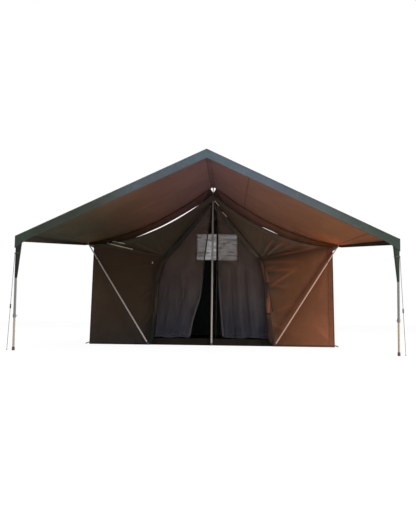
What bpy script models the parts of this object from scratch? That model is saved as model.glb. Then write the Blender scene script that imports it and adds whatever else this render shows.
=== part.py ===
# Canvas wall tent with a raised veranda awning. The tent hangs on a ridge tube between two
# uprights; its eave corners are propped by telescopic struts. The awning in front hangs on
# a second ridge tube, two rafters and two telescopic corner legs.
# Metres, +Z up, the door faces -Y, the origin is on the ground in the middle of the tent.

import math

import bmesh
import bpy
from mathutils import Matrix, Quaternion, Vector

# Overall sizes
TENT_WIDTH = 4.00
TENT_DEPTH = 2.70
WALL_HEIGHT = 1.62
RIDGE_HEIGHT = 2.47
VERANDA_DEPTH = 2.60
AWNING_FRONT_WIDTH = 4.94
AWNING_REAR_WIDTH = 4.15
AWNING_CORNER_HEIGHT = 1.475
AWNING_REAR_EAVE_STAND = 0.045
AWNING_RIDGE_STAND = 0.16

# Cloth
CANVAS = 0.002
GAUZE = 0.001
EAVE_OVERHANG = 0.05
GABLE_OVERHANG = 0.058
WALL_LEAN = 0.065
ROOF_FRONT_SAG = 0.205
ROOF_REAR_SAG = 0.05
AWNING_SAG = 0.16

# Tubes
POLE_RADIUS = 0.016
POLE_WALL = 0.0015
LEG_ROD_RADIUS = 0.0141
STRUT_RADIUS = 0.0125
STRUT_WALL = 0.0015
STRUT_ROD_RADIUS = 0.0106

# Gaps
SEAM_GAP = 0.0003
TUBE_CLEARANCE = 0.0005
CLOTH_CLEARANCE = 0.003
CUT_OVERRUN = 0.02
MERGE_DISTANCE = 0.00001

# A parabola that is one deep in the middle of a span of one
SAG_PARABOLA = 4

# Round pieces have this many sides, drilled holes fewer
ROUND_SIDES = 16
HOLE_SIDES = 8

# Places that several pieces share. The valance is the foremost thing on the tent, and the
# foot of a rear strut the rearmost.
HALF_WIDTH = TENT_WIDTH / 2
AWNING_RIDGE_HEIGHT = RIDGE_HEIGHT + AWNING_RIDGE_STAND
AWNING_REAR_EAVE_HEIGHT = max(WALL_HEIGHT, AWNING_CORNER_HEIGHT) + AWNING_REAR_EAVE_STAND
ROOF_HALF = HALF_WIDTH + EAVE_OVERHANG
AWNING_FRONT_HALF = AWNING_FRONT_WIDTH / 2
AWNING_REAR_HALF = AWNING_REAR_WIDTH / 2
STRUT_FOOT_STAND_OFF = 0.09
REAR_REACH = STRUT_FOOT_STAND_OFF + STRUT_RADIUS
FRONT_Y = -(VERANDA_DEPTH + TENT_DEPTH + REAR_REACH) / 2
FRONT_WALL_Y = FRONT_Y + VERANDA_DEPTH
REAR_WALL_Y = FRONT_WALL_Y + TENT_DEPTH
UPRIGHT_STAND_BACK = 0.032
DOOR_POLE_Y = FRONT_WALL_Y + UPRIGHT_STAND_BACK
REAR_POLE_Y = REAR_WALL_Y - UPRIGHT_STAND_BACK
RAFTER_CLEARANCE = 0.004
RAFTER_Y = FRONT_Y + CANVAS + RAFTER_CLEARANCE + POLE_RADIUS
RIDGE_HUG = POLE_RADIUS + TUBE_CLEARANCE
ROOF_TUBE_Z = RIDGE_HEIGHT - CANVAS - RIDGE_HUG
AWNING_TUBE_Z = AWNING_RIDGE_HEIGHT - CANVAS - RIDGE_HUG

LEFT, RIGHT = -1, 1
SIDES = (("left", LEFT), ("right", RIGHT))

# Drop whatever the file opened with, and make one collection for the tent and one for the
# drills and welds that shape its pieces.
for old in list(bpy.data.objects):
    bpy.data.objects.remove(old, do_unlink=True)
parts = bpy.data.collections.new("canvas_wall_tent")
cutters = bpy.data.collections.new("cutters")
bpy.context.scene.collection.children.link(parts)
bpy.context.scene.collection.children.link(cutters)


def finish(name, colour, roughness, metallic=0.0):
    made = bpy.data.materials.new(name)
    made.use_nodes = True
    shader = made.node_tree.nodes["Principled BSDF"]
    shader.inputs["Base Color"].default_value = (*colour, 1.0)
    shader.inputs["Roughness"].default_value = roughness
    shader.inputs["Metallic"].default_value = metallic
    made.diffuse_color = (*colour, 1.0)
    return made


AWNING_CANVAS = finish("awning_canvas", (0.10, 0.12, 0.10), 0.85)
TENT_CANVAS = finish("tent_canvas", (0.20, 0.12, 0.07), 0.88)
TRIM_CANVAS = finish("trim_canvas", (0.05, 0.08, 0.06), 0.85)
FLOOR_VINYL = finish("floor_vinyl", (0.04, 0.07, 0.05), 0.6)
GAUZE_NET = finish("gauze_net", (0.12, 0.10, 0.12), 0.9)
GALVANISED = finish("galvanised_tube", (0.55, 0.54, 0.50), 0.45, 1.0)
LEG_PAINT = finish("leg_paint", (0.25, 0.27, 0.24), 0.5, 0.3)
ZINC_CAST = finish("zinc_cast", (0.42, 0.42, 0.43), 0.4, 1.0)
BLACK_PLASTIC = finish("black_plastic", (0.03, 0.03, 0.03), 0.5)
FOOT_RUBBER = finish("foot_rubber", (0.16, 0.09, 0.06), 0.8)
GUY_CORD = finish("guy_cord", (0.30, 0.28, 0.22), 0.8)


def add_object(name, data, material=None):
    made = bpy.data.objects.new(name, data)
    (parts if material else cutters).objects.link(made)
    if material:
        data.materials.append(material)
    else:
        made.hide_render = True
        made.display_type = "WIRE"
    return made


def mesh_of(name, form, sharp_degrees=35):
    mesh = bpy.data.meshes.new(name)
    form.to_mesh(mesh)
    form.free()
    mesh.shade_smooth()
    mesh.set_sharp_from_angle(angle=math.radians(sharp_degrees))
    return mesh


def aim(made, start, end):
    """Stand an object's own +Z along the line from start to end, its foot at start."""
    made.location = Vector(start)
    made.rotation_mode = "QUATERNION"
    made.rotation_quaternion = (Vector(end) - Vector(start)).to_track_quat("Z", "Y")
    return made


def turned(name, profile, material=None, ring=False, sides=ROUND_SIDES):
    """A turned piece from (radius, height) points, whose outer side runs top to bottom."""
    mesh = bpy.data.meshes.new(name)
    points = [(radius, 0, height) for radius, height in profile]
    edges = [(i, i + 1) for i in range(len(points) - 1)]
    if ring:
        edges.append((len(points) - 1, 0))
    mesh.from_pydata(points, edges, [])
    made = add_object(name, mesh, material)
    screw = made.modifiers.new("turn", "SCREW")
    screw.axis = "Z"
    screw.angle = math.tau
    screw.steps = sides
    screw.render_steps = sides
    screw.use_merge_vertices = True
    screw.merge_threshold = MERGE_DISTANCE
    screw.use_smooth_shade = True
    return made


def tube(name, start, end, radius, wall, material):
    length = (Vector(end) - Vector(start)).length
    bore = radius - wall
    profile = [(radius, length), (radius, 0), (bore, 0), (bore, length)]
    return aim(turned(name, profile, material, ring=True), start, end)


def round_bar(name, start, end, radius, sides=ROUND_SIDES, material=None):
    length = (Vector(end) - Vector(start)).length
    form = bmesh.new()
    bmesh.ops.create_cone(form, cap_ends=True, segments=sides, radius1=radius,
                          radius2=radius, depth=length,
                          matrix=Matrix.Translation((0, 0, length / 2)))
    return aim(add_object(name, mesh_of(name, form), material), start, end)


def boolean(target, tool, operation):
    step = target.modifiers.new(operation.lower(), "BOOLEAN")
    step.operation = operation
    step.object = tool


def drill(target, start, end, radius):
    tool = round_bar(target.name + "_drill", start, end, radius, HOLE_SIDES)
    boolean(target, tool, "DIFFERENCE")


def sheet(name, columns, rows, place, material, thickness=CANVAS):
    """A cloth panel: place(u, v) puts a grid's points, u and v from 0 to 1 each, and the
    cloth's thickness grows from there to the side that the grid faces."""
    form = bmesh.new()
    bmesh.ops.create_grid(form, x_segments=columns, y_segments=rows, size=1)
    for vertex in form.verts:
        vertex.co = Vector(place((vertex.co.x + 1) / 2, (vertex.co.y + 1) / 2))
    made = add_object(name, mesh_of(name, form, 60), material)
    cloth = made.modifiers.new("cloth", "SOLIDIFY")
    cloth.thickness = thickness
    cloth.offset = 1
    cloth.use_even_offset = True
    return made


def mix(low, high, share):
    return low + (high - low) * share


def route(points, share):
    """The point at a share of the way through a hand-chosen list of points."""
    spot = min(max(share, 0), 1) * (len(points) - 1)
    index = min(int(spot), len(points) - 2)
    return Vector(points[index]).lerp(Vector(points[index + 1]), spot - index)


# Both roofs are slung the same way: the cloth hugs the top of its ridge tube and then hangs
# in a shallow curve to the eave. This share of the columns of a half lies on the tube.
ARC_SHARE = 3 / 16


def leave_angle(half, tube_z, eave, sag):
    """How steeply the cloth leaves the ridge tube."""
    drop = tube_z - eave + SAG_PARABOLA * sag
    return math.atan2(drop, half) + math.asin(RIDGE_HUG / math.hypot(half, drop))


def slung(share, half, tube_z, eave, sag):
    """(x, z) of the cloth's underside, from share 0 at the ridge to 1 at the eave."""
    turn = leave_angle(half, tube_z, eave, sag)
    angle = turn * min(share / ARC_SHARE, 1)
    start_x, start_z = RIDGE_HUG * math.sin(angle), tube_z + RIDGE_HUG * math.cos(angle)
    run = max(share - ARC_SHARE, 0) / (1 - ARC_SHARE)
    drop = SAG_PARABOLA * sag * run * (1 - run)
    return mix(start_x, half, run), mix(start_z, eave, run) - drop


def slung_height(x, half, tube_z, eave, sag):
    """Height of the same underside over a place x, read beyond the ridge tube."""
    start_x = RIDGE_HUG * math.sin(leave_angle(half, tube_z, eave, sag))
    run = min(max(abs(x) - start_x, 0) / (half - start_x), 1)
    return slung(mix(ARC_SHARE, 1, run), half, tube_z, eave, sag)[1]


def mirrored_share(u):
    """Share from the ridge, and the side, of a column across the whole roof."""
    across = 2 * u - 1
    return abs(across), math.copysign(1, across)


# Inner roof: olive canvas over the roof ridge tube, with an eyelet for each spigot and for
# each strut's pin
ROOF_COLUMNS = 32
ROOF_ROWS = 8
ROOF_FRONT_Y = FRONT_WALL_Y - GABLE_OVERHANG
ROOF_BACK_Y = REAR_WALL_Y + GABLE_OVERHANG


def roof_sag(y):
    depth = (y - ROOF_FRONT_Y) / (ROOF_BACK_Y - ROOF_FRONT_Y)
    return mix(ROOF_FRONT_SAG, ROOF_REAR_SAG, depth)


def roof_under(x, y):
    return slung_height(x, ROOF_HALF, ROOF_TUBE_Z, WALL_HEIGHT, roof_sag(y))


def inner_roof_place(u, v):
    share, side = mirrored_share(u)
    y = mix(ROOF_FRONT_Y, ROOF_BACK_Y, v)
    x, z = slung(share, ROOF_HALF, ROOF_TUBE_Z, WALL_HEIGHT, roof_sag(y))
    return side * x, y, z


inner_roof = sheet("inner_roof", ROOF_COLUMNS, ROOF_ROWS, inner_roof_place, AWNING_CANVAS)

# Awning: one brown-lined sheet from the rafters back to just behind the door uprights, with
# a band sewn along its rear edge that hangs almost to the inner roof. The band starts beside
# the spigot, where it leaves a small V, and leaves a slit of daylight over the roof on each
# side, a long one on the left and a short one on the right.
AWNING_COLUMNS = 32
AWNING_ROWS = 10
AWNING_LAP = 0.075
AWNING_FRONT_EDGE_Y = FRONT_Y + CANVAS + SEAM_GAP
AWNING_REAR_Y = FRONT_WALL_Y + AWNING_LAP
BAND_ROW_SHARE = 1 / AWNING_ROWS
BAND_LEAST_DEPTH = 0.004
BAND_LEAST_GAP = 0.012
SKY_GAP = 0.055
SLIT_SHARES = {-1: (0.10, 0.17, 0.45, 0.63), 1: (0.34, 0.40, 0.48, 0.55)}


def awning_section(depth):
    """Half width, eave height and sag of the awning at a share of its depth."""
    half = mix(AWNING_FRONT_HALF, AWNING_REAR_HALF, depth) - CANVAS
    eave = mix(AWNING_CORNER_HEIGHT, AWNING_REAR_EAVE_HEIGHT, depth) - CANVAS
    return half, AWNING_TUBE_Z, eave, AWNING_SAG * depth ** 2


def awning_depth(y):
    return (y - AWNING_FRONT_EDGE_Y) / (AWNING_REAR_Y - AWNING_FRONT_EDGE_Y)


def slit(share, side):
    """How far the slit over the roof gapes, from 0 to 1, at a share of the half width."""
    start, wide, narrow, end = SLIT_SHARES[side]
    return max(min((share - start) / (wide - start), (end - share) / (end - narrow), 1), 0)


def band_depth(share, x, z, side):
    if share <= ARC_SHARE:
        return BAND_LEAST_DEPTH
    gap = BAND_LEAST_GAP + SKY_GAP * slit(abs(x) / AWNING_REAR_HALF, side)
    return max(z - roof_under(x, AWNING_REAR_Y) - CANVAS - gap, BAND_LEAST_DEPTH)


def awning_place(u, v):
    share, side = mirrored_share(u)
    depth = min(v / (1 - BAND_ROW_SHARE), 1)
    x, z = slung(share, *awning_section(depth))
    if v > 1 - BAND_ROW_SHARE / 2:
        z -= band_depth(share, x, z, side)
    return side * x, mix(AWNING_FRONT_EDGE_Y, AWNING_REAR_Y, depth), z


awning_canopy = sheet("awning_canopy", AWNING_COLUMNS, AWNING_ROWS, awning_place,
                      AWNING_CANVAS)

# Valance: one strip sewn round the front edge and both sides of the awning. It is deepest
# at the two corners, where it hides the connectors, and a hem that narrows towards the rear
# along the sides.
VALANCE_DEPTH = 0.12
VALANCE_CORNER_DEPTH = 0.158
SIDE_HEM_DEPTH = 0.032
SIDE_HEM_FRONT_DEPTH = 0.072
CORNER_LAP = 0.22
VALANCE_COLUMNS = 48
FRONT_COLUMNS_SHARE = 0.5
CORNER_START_SHARE = 0.93


def valance_place(u, v):
    across, side = 2 * u - 1, math.copysign(1, 2 * u - 1)
    run = abs(across) / FRONT_COLUMNS_SHARE
    if run <= 1:
        share = run
        half, tube_z, eave, sag = awning_section(0)
        x = share * AWNING_FRONT_HALF
        y = FRONT_Y + CANVAS
        top = slung_height(min(x, half), half, tube_z, eave, sag)
        deep = max(share - CORNER_START_SHARE, 0) / (1 - CORNER_START_SHARE)
        drop = mix(VALANCE_DEPTH, VALANCE_CORNER_DEPTH, deep)
    else:
        depth = run - 1
        half, tube_z, eave, sag = awning_section(depth)
        x = half + CANVAS + SEAM_GAP
        y = mix(FRONT_Y + CANVAS, AWNING_REAR_Y, depth)
        top = eave
        near = max(1 - (y - FRONT_Y) / CORNER_LAP, 0)
        drop = mix(mix(SIDE_HEM_FRONT_DEPTH, SIDE_HEM_DEPTH, depth), VALANCE_CORNER_DEPTH, near)
    return side * x, y, top + CANVAS - drop * (1 - v)


awning_valance = sheet("awning_valance", VALANCE_COLUMNS, 1, valance_place, TRIM_CANVAS)


# Gable walls. A panel is a patch between four edges, each a function of a share.
def patch(bottom, top, inner, outer):
    def place(u, v):
        low, high = Vector(bottom(u)), Vector(top(u))
        near, far = Vector(inner(v)), Vector(outer(v))
        corners = (mix(Vector(bottom(0)), Vector(bottom(1)), u) * (1 - v)
                   + mix(Vector(top(0)), Vector(top(1)), u) * v)
        return low * (1 - v) + high * v + near * (1 - u) + far * u - corners
    return place


# Front wall halves. The doorway is shaped like an A: its jambs lean in a little up to the
# tie point and then run to the apex. The canvas is drawn in soft folds from the tie point.
DOOR_FOOT_X = 1.00
DOOR_TIE_X = 0.80
DOOR_TIE_Z = 1.46
DOOR_APEX_DROP = 0.09
DOOR_APEX_Z = RIDGE_HEIGHT - DOOR_APEX_DROP
WALL_OUTER_X = HALF_WIDTH - CANVAS - SEAM_GAP
WALL_TOP_X = WALL_OUTER_X - WALL_LEAN
GABLE_FRONT_Z = roof_under(0, FRONT_WALL_Y) - CLOTH_CLEARANCE
WALL_FOLD_DEPTH = 0.012
WALL_FOLD_REACH = 0.75
WALL_FOLDS = 9
FOLD_EASE_SHARE = 0.25
PANEL_COLUMNS = 14
PANEL_ROWS = 14


def door_edge_x(z):
    if z <= DOOR_TIE_Z:
        return mix(DOOR_FOOT_X, DOOR_TIE_X, z / DOOR_TIE_Z)
    rise = min((z - DOOR_TIE_Z) / (DOOR_APEX_Z - DOOR_TIE_Z), 1)
    return mix(DOOR_TIE_X, SEAM_GAP, rise)


def gable_top(x, y):
    return roof_under(x, y) - CLOTH_CLEARANCE


def wall_fold(x, z):
    """How far the canvas is drawn back: folds that fan out from the door's tie point."""
    away = Vector((x - DOOR_TIE_X, z - DOOR_TIE_Z))
    reach = away.length / WALL_FOLD_REACH
    if reach >= 1:
        return 0
    fan = 0.5 - 0.5 * math.cos(WALL_FOLDS * math.atan2(away.y, away.x))
    return WALL_FOLD_DEPTH * fan * SAG_PARABOLA * reach * (1 - reach)


def front_wall_place(side):
    def edge(x, z):
        return x, 0, z

    def inner(v):
        z = route([(0, 0), (0, DOOR_TIE_Z), (0, DOOR_APEX_Z), (0, GABLE_FRONT_Z)], v).y
        return edge(door_edge_x(z), z)

    flat = patch(lambda u: edge(mix(DOOR_FOOT_X, WALL_OUTER_X, u), 0),
                 lambda u: edge(mix(SEAM_GAP, WALL_TOP_X, u),
                                gable_top(mix(SEAM_GAP, WALL_TOP_X, u), FRONT_WALL_Y)),
                 inner,
                 lambda v: edge(mix(WALL_OUTER_X, WALL_TOP_X, v),
                                gable_top(WALL_TOP_X, FRONT_WALL_Y) * v))

    def place(u, v):
        x, y, z = flat(u if side > 0 else 1 - u, v)
        near = u if side > 0 else 1 - u
        inside = min(near, 1 - near, v, 1 - v) > 0
        ease = min(near / FOLD_EASE_SHARE, 1) ** 2
        fold = wall_fold(x, z) * ease if inside else 0
        return side * x, FRONT_WALL_Y + CANVAS + fold, z
    return place


for label, side in SIDES:
    sheet("front_wall_" + label, PANEL_COLUMNS, PANEL_ROWS, front_wall_place(side),
          TENT_CANVAS)

# Side walls: plain canvas from the eave to the ground, a little slack between the corners,
# and pegged out wider at the ground than at the eave
SIDE_SLACK = 0.010
SIDE_WAVES = 5


def side_wall_place(side):
    def place(u, v):
        slack = SIDE_SLACK * math.sin(math.pi * v) * math.sin(SIDE_WAVES * math.pi * u) ** 2
        y = mix(FRONT_WALL_Y, REAR_WALL_Y, u if side > 0 else 1 - u)
        x = HALF_WIDTH - CANVAS - slack - WALL_LEAN * v
        return side * x, y, gable_top(HALF_WIDTH - WALL_LEAN, y) * v
    return place


for label, side in SIDES:
    sheet("side_wall_" + label, 20, 5, side_wall_place(side), TENT_CANVAS)

# Rear wall: a full gable with a gauze window high up, and the window's flap rolled over it
WINDOW_WIDTH = 0.80
WINDOW_HEIGHT = 0.52
WINDOW_DROP = 0.59
WINDOW_MIDDLE_Z = RIDGE_HEIGHT - WINDOW_DROP
WINDOW_LAP = 0.025
FLAP_ROLL_RADIUS = 0.024
FLAP_TIE_RADIUS = 0.016
FLAP_TIE_SHARES = (1.0, 1.0, 0.7, 1.0, 1.0, 1.0, 0.7, 1.0, 1.0)
ROLL_RESOLUTION = 2


def rear_wall_place(u, v):
    reach = mix(WALL_OUTER_X, WALL_TOP_X, v)
    x = mix(reach, -reach, u)
    return x, REAR_WALL_Y - CANVAS, gable_top(x, REAR_WALL_Y) * v


rear_wall = sheet("rear_wall", 20, 6, rear_wall_place, TENT_CANVAS)


def block(name, low, high, material=None):
    form = bmesh.new()
    bmesh.ops.create_cube(form, size=1)
    low, high = Vector(low), Vector(high)
    bmesh.ops.scale(form, vec=high - low, verts=form.verts)
    bmesh.ops.translate(form, vec=(low + high) / 2, verts=form.verts)
    return add_object(name, mesh_of(name, form), material)


window_low_z = WINDOW_MIDDLE_Z - WINDOW_HEIGHT / 2
window_high_z = WINDOW_MIDDLE_Z + WINDOW_HEIGHT / 2
boolean(rear_wall,
        block("window_cut", (-WINDOW_WIDTH / 2, REAR_WALL_Y - CUT_OVERRUN, window_low_z),
              (WINDOW_WIDTH / 2, REAR_WALL_Y + CUT_OVERRUN, window_high_z)),
        "DIFFERENCE")


def window_gauze_place(u, v):
    reach = WINDOW_WIDTH / 2 + WINDOW_LAP
    return (mix(reach, -reach, u), REAR_WALL_Y - CANVAS - SEAM_GAP - GAUZE,
            mix(window_low_z - WINDOW_LAP, window_high_z + WINDOW_LAP, v))


sheet("rear_window_gauze", 4, 3, window_gauze_place, GAUZE_NET, GAUZE)


def rolled_cloth(name, points, radii, flatness, material):
    """A roll of cloth along a smooth line, pinched where its radius is small and pressed
    flat towards the wall behind it."""
    curve = bpy.data.curves.new(name + "_line", "CURVE")
    curve.dimensions = "3D"
    curve.bevel_depth = 1
    curve.bevel_resolution = ROLL_RESOLUTION
    curve.use_fill_caps = True
    curve.render_resolution_u = 0
    line = curve.splines.new("POLY")
    line.points.add(len(points) - 1)
    for spot, place, radius in zip(line.points, points, radii):
        spot.co = (place[0], 0, place[2], 1)
        spot.radius = radius
    guide = bpy.data.objects.new(name + "_line", curve)
    cutters.objects.link(guide)
    bpy.context.view_layer.update()
    solid = guide.evaluated_get(bpy.context.evaluated_depsgraph_get())
    mesh = bpy.data.meshes.new_from_object(solid)
    bpy.data.objects.remove(guide, do_unlink=True)
    form = bmesh.new()
    form.from_mesh(mesh)
    bmesh.ops.remove_doubles(form, verts=form.verts, dist=MERGE_DISTANCE)
    bmesh.ops.scale(form, vec=(1, flatness, 1), verts=form.verts)
    bmesh.ops.translate(form, vec=(0, points[0][1], 0), verts=form.verts)
    bpy.data.meshes.remove(mesh)
    return add_object(name, mesh_of(name, form, 60), material)


flap_z = window_high_z + FLAP_ROLL_RADIUS + WINDOW_LAP / 2
flap_y = REAR_WALL_Y + FLAP_ROLL_RADIUS + SEAM_GAP
flap_reach = WINDOW_WIDTH / 2 + WINDOW_LAP
flap_steps = len(FLAP_TIE_SHARES) - 1
rolled_cloth("window_flap_roll",
             [(mix(-flap_reach, flap_reach, i / flap_steps), flap_y, flap_z)
              for i in range(flap_steps + 1)],
             [FLAP_ROLL_RADIUS * share for share in FLAP_TIE_SHARES], 1, TENT_CANVAS)

# Groundsheet: a shallow tub, whose front lip is the doorsill behind the door upright
SILL_HEIGHT = 0.11
SILL_STAND_BACK = 0.024
TUB_CLEARANCE = 0.014


def make_groundsheet():
    form = bmesh.new()
    bmesh.ops.create_cube(form, size=1)
    low = Vector((-HALF_WIDTH + TUB_CLEARANCE, DOOR_POLE_Y + SILL_STAND_BACK, 0))
    high = Vector((HALF_WIDTH - TUB_CLEARANCE, REAR_WALL_Y - CANVAS - SEAM_GAP, SILL_HEIGHT))
    bmesh.ops.scale(form, vec=high - low, verts=form.verts)
    bmesh.ops.translate(form, vec=(low + high) / 2, verts=form.verts)
    lid = [face for face in form.faces if face.normal.z > 0.5]
    bmesh.ops.delete(form, geom=lid, context="FACES_ONLY")
    made = add_object("groundsheet", mesh_of("groundsheet", form), FLOOR_VINYL)
    wall = made.modifiers.new("vinyl", "SOLIDIFY")
    wall.thickness = CANVAS
    wall.offset = -1
    wall.use_even_offset = True


make_groundsheet()

# Canvas doors, rolled back and tied along the jambs: three ties draw the roll in, it bulges
# between them and ends in a loose bundle on the ground. Each point is a share of the height
# of the doorway, a share of the roll's widest radius out from the jamb, and its own radius as
# a share of the widest.
ROLL_FLATNESS = 0.5
ROLL_WIDEST = 0.055
DOOR_ROLL_SHARES = (
    (0.966, -0.18, 0.25), (0.910, -0.50, 0.42), (0.845, -0.94, 0.55), (0.769, -1.06, 0.62),
    (0.693, -1.18, 0.62), (0.637, -1.13, 0.52), (0.601, -0.71, 0.30), (0.561, -0.04, 0.52),
    (0.517, 0.34, 0.66), (0.471, 0.52, 0.56), (0.429, 0.54, 0.32), (0.382, 0.39, 0.56),
    (0.328, 0.16, 0.68), (0.269, -0.11, 0.58), (0.223, -0.28, 0.34), (0.181, -0.20, 0.66),
    (0.130, -0.14, 0.86), (0.084, -0.08, 1.00), (0.042, -0.02, 0.90), (0.019, 0.04, 0.55),
)
ROLL_SEAT = 0.0008
roll_y = FRONT_WALL_Y - SEAM_GAP - ROLL_WIDEST * ROLL_FLATNESS + ROLL_SEAT


def door_roll_points(side):
    points = []
    for height, out, radius in DOOR_ROLL_SHARES:
        z = DOOR_APEX_Z * height
        points.append((side * (door_edge_x(z) + ROLL_WIDEST * out), roll_y, z))
    return points


for label, side in SIDES:
    rolled_cloth("door_roll_" + label, door_roll_points(side),
                 [ROLL_WIDEST * radius for height, out, radius in DOOR_ROLL_SHARES],
                 ROLL_FLATNESS, TENT_CANVAS)

# Gauze door curtains. The lower panel of each swings on its jamb; the upper one is sewn
# into the A of the doorway. They part beside the door upright and hang in soft folds,
# which die out towards the jamb. The free edges run through points, each a share of the
# doorway's width at the tie point and a share of the curtain's height.
CURTAIN_BOTTOM_Z = 0.125
CURTAIN_SPLIT_DROP = 0.01
CURTAIN_SPLIT_Z = DOOR_TIE_Z - CURTAIN_SPLIT_DROP
CURTAIN_SPLIT_GAP = 0.001
CURTAIN_TOP_DROP = 0.07
CURTAIN_TOP_Z = DOOR_APEX_Z - CURTAIN_TOP_DROP
CURTAIN_MIDDLE_BACK = 0.030
CURTAIN_FOLD = 0.012
CURTAIN_FOLDS = 4
CURTAIN_EDGE_SHARES = {
    "left": ((0.45, 0.0), (0.2375, 0.304), (0.15, 0.606), (0.0275, 1.0)),
    "right": ((0.225, 0.0), (0.144, 0.341), (0.085, 0.606), (0.0275, 1.0)),
}
HINGE_Y = FRONT_WALL_Y + CANVAS + SEAM_GAP


def curtain_inner_x(label, z):
    edge = CURTAIN_EDGE_SHARES[label]
    height = (z - CURTAIN_BOTTOM_Z) / (CURTAIN_TOP_Z - CURTAIN_BOTTOM_Z)
    for (x0, z0), (x1, z1) in zip(edge, edge[1:]):
        if height <= z1:
            return DOOR_TIE_X * mix(x0, x1, (height - z0) / (z1 - z0))
    return DOOR_TIE_X * edge[-1][0]


def curtain_place(label, side, low_z, high_z):
    def place(u, v):
        z = mix(low_z, high_z, v)
        near = u if side > 0 else 1 - u
        x = mix(curtain_inner_x(label, z), door_edge_x(z), near)
        back = (CURTAIN_MIDDLE_BACK + UPRIGHT_STAND_BACK) * (1 - near)
        wave = math.sin(CURTAIN_FOLDS * math.tau * near) * math.sin(math.pi * near)
        hang = mix(1, 0.5, v)
        fold = CURTAIN_FOLD * wave * hang * min(back / CURTAIN_FOLD, 1)
        return side * x, HINGE_Y + GAUZE + back + fold, z
    return place


for label, side in SIDES:
    sheet("gauze_curtain_" + label, 20, 10,
          curtain_place(label, side, CURTAIN_BOTTOM_Z, CURTAIN_SPLIT_Z - CURTAIN_SPLIT_GAP),
          GAUZE_NET, GAUZE)
    sheet("gauze_gable_" + label, 12, 6,
          curtain_place(label, side, CURTAIN_SPLIT_Z, CURTAIN_TOP_Z), GAUZE_NET, GAUZE)

# Uprights: two lengths of tube with a swaged joint, a rubber foot, and at the top a spigot
# that goes through the ridge tube and the roof. The door one also carries the awning.
UPRIGHT_JOINT_Z = 1.20
SWAGE_LENGTH = 0.09
SWAGE_NECK = 0.02
FOOT_WALL = 0.004
FOOT_FLOOR = 0.005
FOOT_HEIGHT = 0.045
SPIGOT_RADIUS = 0.008
SPIGOT_TIP_RADIUS = 0.0055
SPIGOT_PLUG = 0.06
SPIGOT_STAND = 0.035
SPIGOT_CHAMFER = 0.002
HOLE_CLEARANCE = 0.0009
TUBE_END_REACH = UPRIGHT_STAND_BACK - CANVAS - TUBE_CLEARANCE


def foot_cup(name, x, y, z, radius, material):
    bore = radius + SEAM_GAP
    outer = bore + FOOT_WALL
    profile = [(0, FOOT_FLOOR), (bore, FOOT_FLOOR), (bore, FOOT_HEIGHT),
               (outer, FOOT_HEIGHT), (outer, 0), (0, 0)]
    made = turned(name, profile, material)
    made.location = (x, y, z)


def upright(label, y, floor_z):
    foot_cup(label + "_upright_foot", 0, y, floor_z, POLE_RADIUS, FOOT_RUBBER)
    foot_z = floor_z + FOOT_FLOOR + SEAM_GAP
    joint = UPRIGHT_JOINT_Z - foot_z
    bore = POLE_RADIUS - POLE_WALL
    neck = LEG_ROD_RADIUS
    profile = [(neck, joint + SWAGE_LENGTH), (neck, joint), (POLE_RADIUS, joint),
               (POLE_RADIUS, 0), (bore, 0), (bore, joint - SWAGE_NECK),
               (neck - POLE_WALL, joint), (neck - POLE_WALL, joint + SWAGE_LENGTH)]
    lower = turned(label + "_upright_lower", profile, GALVANISED, ring=True)
    lower.location = (0, y, foot_z)
    top_z = ROOF_TUBE_Z - POLE_RADIUS - SEAM_GAP
    tube(label + "_upright_upper", (0, y, UPRIGHT_JOINT_Z + SEAM_GAP), (0, y, top_z),
         POLE_RADIUS, POLE_WALL, GALVANISED)
    return top_z


def spigot(label, y, top_z, shoulder_z, tip_z, tip_radius):
    plug = POLE_RADIUS - POLE_WALL - SEAM_GAP
    profile = [(0, tip_z), (tip_radius - SPIGOT_CHAMFER, tip_z),
               (tip_radius, tip_z - SPIGOT_CHAMFER), (tip_radius, shoulder_z),
               (SPIGOT_RADIUS, shoulder_z), (SPIGOT_RADIUS, top_z),
               (plug, top_z), (plug, top_z - SPIGOT_PLUG), (0, top_z - SPIGOT_PLUG)]
    turned(label + "_spigot", profile, ZINC_CAST).location = (0, y, 0)


door_top_z = upright("front", DOOR_POLE_Y, 0)
spigot("front", DOOR_POLE_Y, door_top_z, AWNING_TUBE_Z - POLE_RADIUS - SEAM_GAP,
       AWNING_RIDGE_HEIGHT + SPIGOT_STAND, SPIGOT_TIP_RADIUS)
rear_top_z = upright("rear", REAR_POLE_Y, CANVAS + SEAM_GAP)
spigot("rear", REAR_POLE_Y, rear_top_z, RIDGE_HEIGHT, RIDGE_HEIGHT + SPIGOT_STAND,
       SPIGOT_TIP_RADIUS)

# Ridge tubes: one inside the roof, drilled for both spigots, and one under the awning,
# which sits on the front spigot and plugs onto the apex connector
roof_ridge_tube = tube("roof_ridge_tube", (0, DOOR_POLE_Y - TUBE_END_REACH, ROOF_TUBE_Z),
                       (0, REAR_POLE_Y + TUBE_END_REACH, ROOF_TUBE_Z),
                       POLE_RADIUS, POLE_WALL, GALVANISED)
CONNECTOR_SHOULDER = 0.045
CONNECTOR_STUB = 0.075
awning_ridge_tube = tube("awning_ridge_tube",
                         (0, RAFTER_Y + CONNECTOR_SHOULDER + SEAM_GAP, AWNING_TUBE_Z),
                         (0, DOOR_POLE_Y + TUBE_END_REACH, AWNING_TUBE_Z),
                         POLE_RADIUS, POLE_WALL, GALVANISED)


def spigot_holes(target, y, low_z, high_z, radius):
    drill(target, (0, y, low_z - CUT_OVERRUN), (0, y, high_z + CUT_OVERRUN),
          radius + HOLE_CLEARANCE)


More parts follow.
